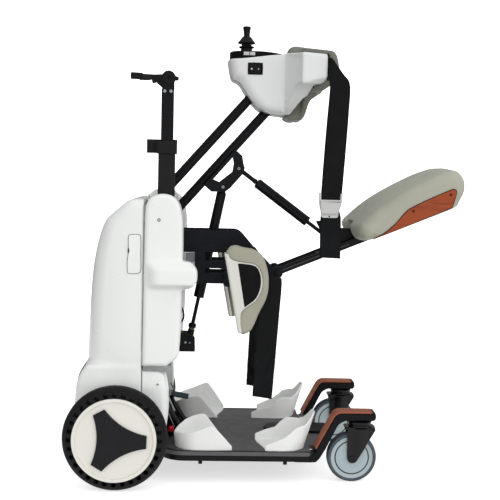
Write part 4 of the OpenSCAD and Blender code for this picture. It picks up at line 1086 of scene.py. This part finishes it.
# ------------------------------------------------------------------ pedal, lever, springs, small fittings
def fittings():
    def cyl(p, q, prof, seg=28):
        p, q = Vector(p), Vector(q)
        L = (q - p).length
        return place(lathe([(r, t * L) for r, t in prof], seg), p, q - p)
    grip = [(5.2, 0.0), (7.4, 0.02), (8.0, 0.08), (7.9, 0.2)]
    for i in range(9):
        a = 0.22 + i * 0.07
        grip += [(8.1, a), (8.1, a + 0.035), (7.5, a + 0.04), (7.5, a + 0.065)]
    grip += [(8.0, 0.9), (7.6, 0.97), (6, 1.0)]
    put("pedal_grip", *join(cyl((-85.6, -72, 191.1), (-46, -72, 183.8), [(r * 0.94, t) for r, t in grip]), cyl((-90.4, -72, 192), (-84, -72, 190.8), [(4.6, 0), (4.9, 0.2), (4.9, 1.0)])), GRIP, "pedal", "brake_pedal", "grip_rubber", sharp=50)
    put("pedal_bracket", *slab([(-97, 183), (-97, 201), (-88, 199), (-86, 186)], -61.6, -58.4, 0.6, 2), STEEL, "chassis", slot="pin_steel", sharp=50)
    put("clutch_knob", *place(lathe([(3.4, 97), (6, 97.6), (7.4, 99.4), (7.9, 102), (7.9, 107), (7.2, 110), (5.4, 111.6), (2.4, 112)], 32), (-89.5, -100, 0)), RED, "clutch", "clutch_lever", "knob_red", sharp=60)
    put("clutch_stem", *place(lathe([(3.9, 84.2), (4.3, 85), (4.3, 88), (3.4, 89), (3.4, 98)], 24), (-89.5, -100, 0)), TRIM, "clutch", "clutch_lever", "trim_black", sharp=50)
    # dark sheet on the rear of the footplate: painted shade under the brake rods and behind the toe cups
    put("rear_plate_shade", *plan(cr([(-104, -60), (-98, -78), (-84, -82), (-58, -76), (-54, 0), (-58, 76), (-84, 82), (-98, 78), (-104, 60)], 4, True), 82.0, 83.4, 0.5, 2), DARK, "chassis", slot="trim_black", sharp=40)
    # dark border of the plate and corner plates of the seat fork
    ang = [math.pi + math.pi / 2 * i / 12 for i in range(13)]
    rim = [(-50 + 61.6 * math.cos(t), -166 + 61.6 * math.sin(t)) for t in ang] + [(262, -227.6), (262, -219)] + [(-50 + 53 * math.cos(t), -166 + 53 * math.sin(t)) for t in ang[::-1]]
    for sgn, n in ((-1, "left"), (1, "right")):
        v = plan(rim, 81.4, 82.8, 0.4, 2)
        put("plate_rim_" + n, *(v if sgn < 0 else mir(v)), EDGE, "chassis", slot="frame_black", sharp=50)
        v = slab([(124.4, 574.8), (152.5, 538.6), (179.5, 509.4), (193, 498.6), (193.6, 491), (178, 488.6), (152, 500), (120, 540)], -58.6, -56.3, 0.6, 2)
        put("fork_corner_" + n, *(v if sgn < 0 else mir(v)), SLATE, "chassis", slot="frame_black", sharp=50)
    # rods of the brake linkage beside the guide bars
    for sgn, n in ((-1, "left"), (1, "right")):
        rods = [tube([Vector((-108, sgn * y, 166.5)), Vector((-82.5, sgn * y, 127)), Vector((-58, sgn * y, 88.6))], r, 14) for y, r in ((57, 4.2), (70, 4.6), (84, 3.2))]
        put("brake_rods_" + n, *join(*rods), EDGE, "chassis", slot="frame_black", sharp=60)
        # a pale grey link rod, and a thin pale line along the rods that is a painted highlight
        rod_and_highlight = [tube([Vector((-98, sgn * 86, 186)), Vector((-91, sgn * 86, 170)), Vector((-81, sgn * 86, 148.5))], 2.4, 12), tube([Vector((-101, sgn * 90, 152)), Vector((-92, sgn * 90, 132)), Vector((-81, sgn * 90, 108))], 1.3, 10)]
        put("brake_rod_and_highlight_" + n, *join(*rod_and_highlight), GREY_ROD_SHADE_HIGHLIGHT, "chassis", slot="frame_black", sharp=60)
        # dark sheet behind the rods: painted shade in the space behind the linkage
        v = slab([(-108, 84), (-64, 84), (-85, 138), (-92, 166), (-98, 176), (-108, 176)], -36, -33, 0.6, 2)
        put("linkage_shade_" + n, *(v if sgn < 0 else mir(v)), DARK, "chassis", slot="frame_black", sharp=50)
    # cable that comes out of the column to the spring's release
    path = cr([(-78, -44, 364), (-74.5, -44, 370), (-67, -44, 380), (-62.8, -44, 391), (-64, -44, 404), (-71, -44, 420), (-84, -44, 440), (-97.6, -44, 456)], 8)
    put("release_cable_sheath", *tube(path, 2.5, 14), CABLE, "chassis", "release_cable", "cable_black", sharp=60)
    put("cable_ferrule", *place(lathe([(3.4, 0), (4.0, 0.8), (4.0, 5), (3.2, 6), (3.2, 10), (2.8, 11)], 20), (-78, -44, 355.6)), BRASS, "chassis", slot="pin_steel", sharp=40)
    put("cable_nut", *hexnut(6.0, 5.4, (-78, -44, 350.6), (0, 0, 1)), SILVER_AND_HIGHLIGHT, "chassis", slot="pin_steel", sharp=30)
    # bracket bolts
    for i, (x, z) in enumerate(((-57.5, 318), (-46, 317))):
        put(f"bracket_bolt_{i}", *head(3.4 - i, 2.0, (x, -15.8, z), (0, -1, 0)), STEEL, "chassis", slot="pin_steel", sharp=40)
    put("bracket_pin_cap", *head(6.4, 2.4, (-47.2, -15.9, 327.2), (0, -1, 0), 24), BLACK, "chassis", slot="frame_black", sharp=40)
    # joint and lock nut on the spring's rod
    u = Vector((0.19575, 0, 0.98065))
    g = Vector((-47.2, 0, 327.2))
    put("rod_joint", *join(place(lathe([(7.4, 0), (8.6, 1.4), (8.6, 12), (6.4, 15)], 24), g + u * 9, u), place(lathe([(6.4, 0), (8.0, 1), (8.0, 9), (6.2, 10)], 6), g + u * 24, u)), BRASS, "spring_rod", slot="pin_steel", sharp=35)
    put("rod_lock", *place(lathe([(8.4, 0), (10.4, 1.6), (10.4, 9), (8.6, 11.5), (6, 12.5)], 24), g + u * 29.4, u), BLACK, "spring_rod", slot="frame_black", sharp=40)
    # bolt heads on the gusset and links
    for n, (x, z) in (("a", (75.2, 784.3)), ("b", (34.2, 735))):
        for s in (-1, 1):
            put(f"gusset_bolt_{n}_{'l' if s < 0 else 'r'}", *head(4.5, 4.4, (x, s * 19.4, z), (0, s, 0)), STEEL, "lift_lower", slot="pin_steel", sharp=40)
    for s in (-1, 1):
        t = "l" if s < 0 else "r"
        put("seat_pivot_bolt_" + t, *head(7.5, 4, (180, s * 57.5, 514), (0, s, 0), 28), BLACK, "chassis", slot="frame_black", sharp=40)
        put("strut_pin_cap_" + t, *head(7, 3, (316.4, s * 22, 607), (0, s, 0), 24), STEEL, "seat", slot="pin_steel", sharp=40)
    # mast: hub cap and two bolts
    put("hub_cap", *place(lathe([(16.6, 0), (17.2, 0.8), (16.6, 2.2), (15.0, 2.8), (4.2, 2.8), (3.4, 1.6)], 40), (-106.5, -179.8, 1002), (0, -1, 0)), TRIM, "mast", slot="trim_black", sharp=40)
    for i, x in enumerate((-115.6, -100.4)):
        put(f"mast_bolt_{i}", *head(4.2, 2.2, (x, -179.8, 969), (0, -1, 0)), STEEL, "mast", slot="pin_steel", sharp=40)
    # stouter ends of the strut and the lift spring
    q, e = Vector((75.2, 0, 784.3)), Vector((0.8057, 0, -0.5923))
    put("strut_sleeve", *place(lathe([(4.2, 0), (6.0, 1.5), (6.0, 40), (6.8, 41), (6.8, 47)], 28), q + e * 12, e), BLACK, "strut_cylinder", slot="frame_black", sharp=40)
    q = Vector((316.4, 0, 607))
    put("strut_rod_sleeve", *place(lathe([(4.4, 0), (5.2, 1), (5.2, 66), (4.4, 67)], 28), q - e * 10, -e), BLACK, "strut_rod", slot="frame_black", sharp=40)
    q, e = Vector((34.2, 0, 735)), Vector((-0.19575, 0, -0.98065))
    put("spring_dome", *place(lathe([(3.2, 0), (6.4, 0.8), (10, 3), (12.1, 6.4), (12.9, 10), (12.9, 118), (11.6, 119), (11.6, 122), (9.2, 121.6), (9.2, 14), (0.4, 13.4)], 40), q + e * 9.5, e), BLACK, "spring_cylinder", slot="frame_black", sharp=60)
    # knurled end, clamp rings and trigger of the push handle
    kn = [(6.4, 0), (7.6, 1)]
    for i in range(5):
        kn += [(7.8, 1.6 + i * 3.0), (7.8, 3.2 + i * 3.0), (7.1, 3.6 + i * 3.0), (7.1, 4.2 + i * 3.0)]
    kn += [(7.6, 17), (6.2, 18)]
    put("handle_end", *place(lathe(kn, 32), (-200.4, -165, 1005), (1, 0, 0)), TRIM, "handle", slot="trim_black", sharp=50)
    put("handle_ring", *place(lathe([(6.4, 0), (8.2, 0.8), (8.6, 2.4), (8.6, 7.6), (8.2, 9.2), (6.4, 10)], 36), (-179, -165, 1003.6), (1, 0, -0.03)), BLACK, "handle", slot="trim_black", sharp=50)
    put("handle_lever", *slab(cr([(-170, 1009), (-158, 1009.6), (-149, 1008), (-146.4, 1003), (-149, 997.4), (-158, 995.6), (-170, 996), (-173, 1002)], 4, True), -173, -157, 1.6, 3), TRIM, "handle", slot="trim_black", sharp=50)
    put("lever_plate", *slab(cr([(-168, 1006.4), (-158, 1007), (-151, 1005.4), (-150, 1002), (-152, 999), (-160, 998), (-168, 998.6), (-170, 1002)], 4, True), -174, -172.6, 0.5, 2), CHARCOAL, "handle", slot="trim_black", sharp=50)
    put("handle_bracket", *slab(cr([(-147.6, 1008), (-139.4, 1007.8), (-138.4, 992.4), (-140.6, 989.6), (-145, 988.8), (-147.8, 992.4)], 3, True), -172, -158, 1.0, 2), TRIM, "handle", slot="trim_black", sharp=50)
    put("handle_brace", *slab([(-139, 1004.6), (-120, 1006.4), (-120, 984), (-123.4, 978.2), (-138.8, 991.6)], -170.6, -159.4, 1.0, 2), TRIM, "handle", slot="trim_black", sharp=50)
    put("hub_eye", *place(lathe([(3.4, 0), (3.4, 0.5), (2.6, 0.8), (1.0, 0.8)], 24), (-106.5, -182.4, 1002), (0, -1, 0)), DARK, "mast", slot="trim_black", sharp=40)
    # stouter barrel of the strut and a painted highlight along the seat rails
    q, e = Vector((75.2, 0, 784.3)), Vector((0.8057, 0, -0.5923))
    put("strut_barrel", *place(lathe([(8.4, 0), (10.0, 1.2), (10.3, 3), (10.3, 158), (10.9, 159), (10.9, 166), (9.4, 168)], 40), q + e * 60, e), BLACK, "strut_cylinder", slot="frame_black", sharp=50)
    ca, sa = math.cos(math.radians(22.4)), math.sin(math.radians(22.4))
    line = [(180 + u * ca - v * sa, 514 + u * sa + v * ca) for u, v in ((15, -1.6), (206, -1.6), (206, 1.2), (15, 1.2))]
    for sgn, n in ((-1, "left"), (1, "right")):
        vf = slab(line, -48.0, -47.0, 0.3, 2)
        put("rail_highlight_" + n, *(vf if sgn < 0 else mir(vf)), MIDGREY_AND_HIGHLIGHT, "seat", slot="frame_black", sharp=40)
    # dark cover of the tongue between the heel cups
    a = [math.radians(90 + 180 * i / 20) for i in range(21)]
    o = [(203 + 45 * math.cos(t), 45 * math.sin(t)) for t in a] + cr([(320, -45), (329, -42), (332.4, -33)], 4) + cr([(332.4, 33), (329, 42), (320, 45)], 4)
    put("tongue_cover", *plan(o, 80, 89.2, 1.6, 3), TRIM, "chassis", slot="trim_black", sharp=50)
    # switch block under the seat plates
    put("bracket_plate", *slab([(-60, 530), (-60, 560), (-36, 563), (-34, 540)], -52, -49, 0.8, 2), GREYM, "chassis", slot="fork_grey", sharp=50)


fittings()


# ------------------------------------------------------------------ stage
def stage():
    def sheet(name, prof, mat):
        V, F = [], []
        for y, z in prof:
            V += [(-2.6, y, z), (2.6, y, z)]
        for i in range(len(prof) - 1):
            F.append((2 * i, 2 * i + 1, 2 * i + 3, 2 * i + 2))
        me = bpy.data.meshes.new(name)
        me.from_pydata(V, [], F)
        me.polygons.foreach_set("use_smooth", [True] * len(F))
        me.materials.append(mat)
        o = bpy.data.objects.new(name, me)
        scene.collection.objects.link(o)
        return o

    def paper(name, c, glow):
        m = Mat(name).put(Roughness=0.9, Emission_Strength=glow)
        m.to(m.ramp(m.noise(3, 2), [(0.3, (c, c, c, 1)), (0.7, (c + 0.01, c + 0.01, c + 0.01, 1))]), "Base Color")
        m.b.inputs["Emission Color"].default_value = (1, 1, 1, 1)
        m.bump(m.noise(60, 2), 0.02, 0.001)
        return m.m
    ground = sheet("floor", [(-2.6, 0), (2.6, 0)], paper("floor_paper", 0.8, 0.62))
    ground.visible_diffuse = False
    ring = [(2.2, 0), (13, 0)] + [(13 + 2 * math.sin(t), 2 - 2 * math.cos(t)) for t in [math.pi / 2 * i / 8 for i in range(1, 9)]] + [(15, 14)]
    V = [(r * math.cos(t), r * math.sin(t), z - 0.0004) for r, z in ring for t in [2 * math.pi * i / 64 for i in range(64)]]
    F = [(64 * k + i, 64 * k + (i + 1) % 64, 64 * k + 64 + (i + 1) % 64, 64 * k + 64 + i) for k in range(len(ring) - 1) for i in range(64)]
    me = bpy.data.meshes.new("backdrop")
    me.from_pydata(V, [], F)
    me.polygons.foreach_set("use_smooth", [True] * len(F))
    me.materials.append(paper("backdrop_paper", 0.8, 1.0))
    back = bpy.data.objects.new("backdrop", me)
    scene.collection.objects.link(back)
    back.visible_diffuse = back.visible_glossy = back.visible_shadow = False

    def area(name, loc, target, size, power, sy=None):
        d = bpy.data.lights.new(name, "AREA")
        d.shape = "RECTANGLE"
        d.size, d.size_y = size, sy or size
        d.energy = power
        l = bpy.data.objects.new(name, d)
        scene.collection.objects.link(l)
        l.location = loc
        l.rotation_euler = (Vector(target) - Vector(loc)).to_track_quat("-Z", "Y").to_euler()
    area("key", (0.5, -3.9, 0.5), (0, 0, 0.35), 1.9, KEY)
    area("top", (0.5, 0.2, 3.4), (0.1, 0, 0), 2.4, TOP)
    w = bpy.data.worlds.new("studio")
    scene.world = w
    w.use_nodes = True
    t = w.node_tree
    co = t.nodes.new("ShaderNodeTexCoord")
    # soft light that is strongest from above the viewer's right shoulder
    dot = t.nodes.new("ShaderNodeVectorMath")
    dot.operation = "DOT_PRODUCT"
    t.links.new(co.outputs["Generated"], dot.inputs[0])
    dot.inputs[1].default_value = Vector((0.4, -0.7, 0.59)).normalized()
    mr = t.nodes.new("ShaderNodeMapRange")
    mr.inputs["From Min"].default_value = -1
    mr.inputs["From Max"].default_value = 1
    mr.inputs["To Min"].default_value = max(0.0, AMB[0] - AMB[1])
    mr.inputs["To Max"].default_value = AMB[0] + AMB[1]
    t.links.new(dot.outputs["Value"], mr.inputs["Value"])
    t.links.new(mr.outputs[0], t.nodes["Background"].inputs[1])
    t.nodes["Background"].inputs[0].default_value = (1, 1, 1, 1)


stage()
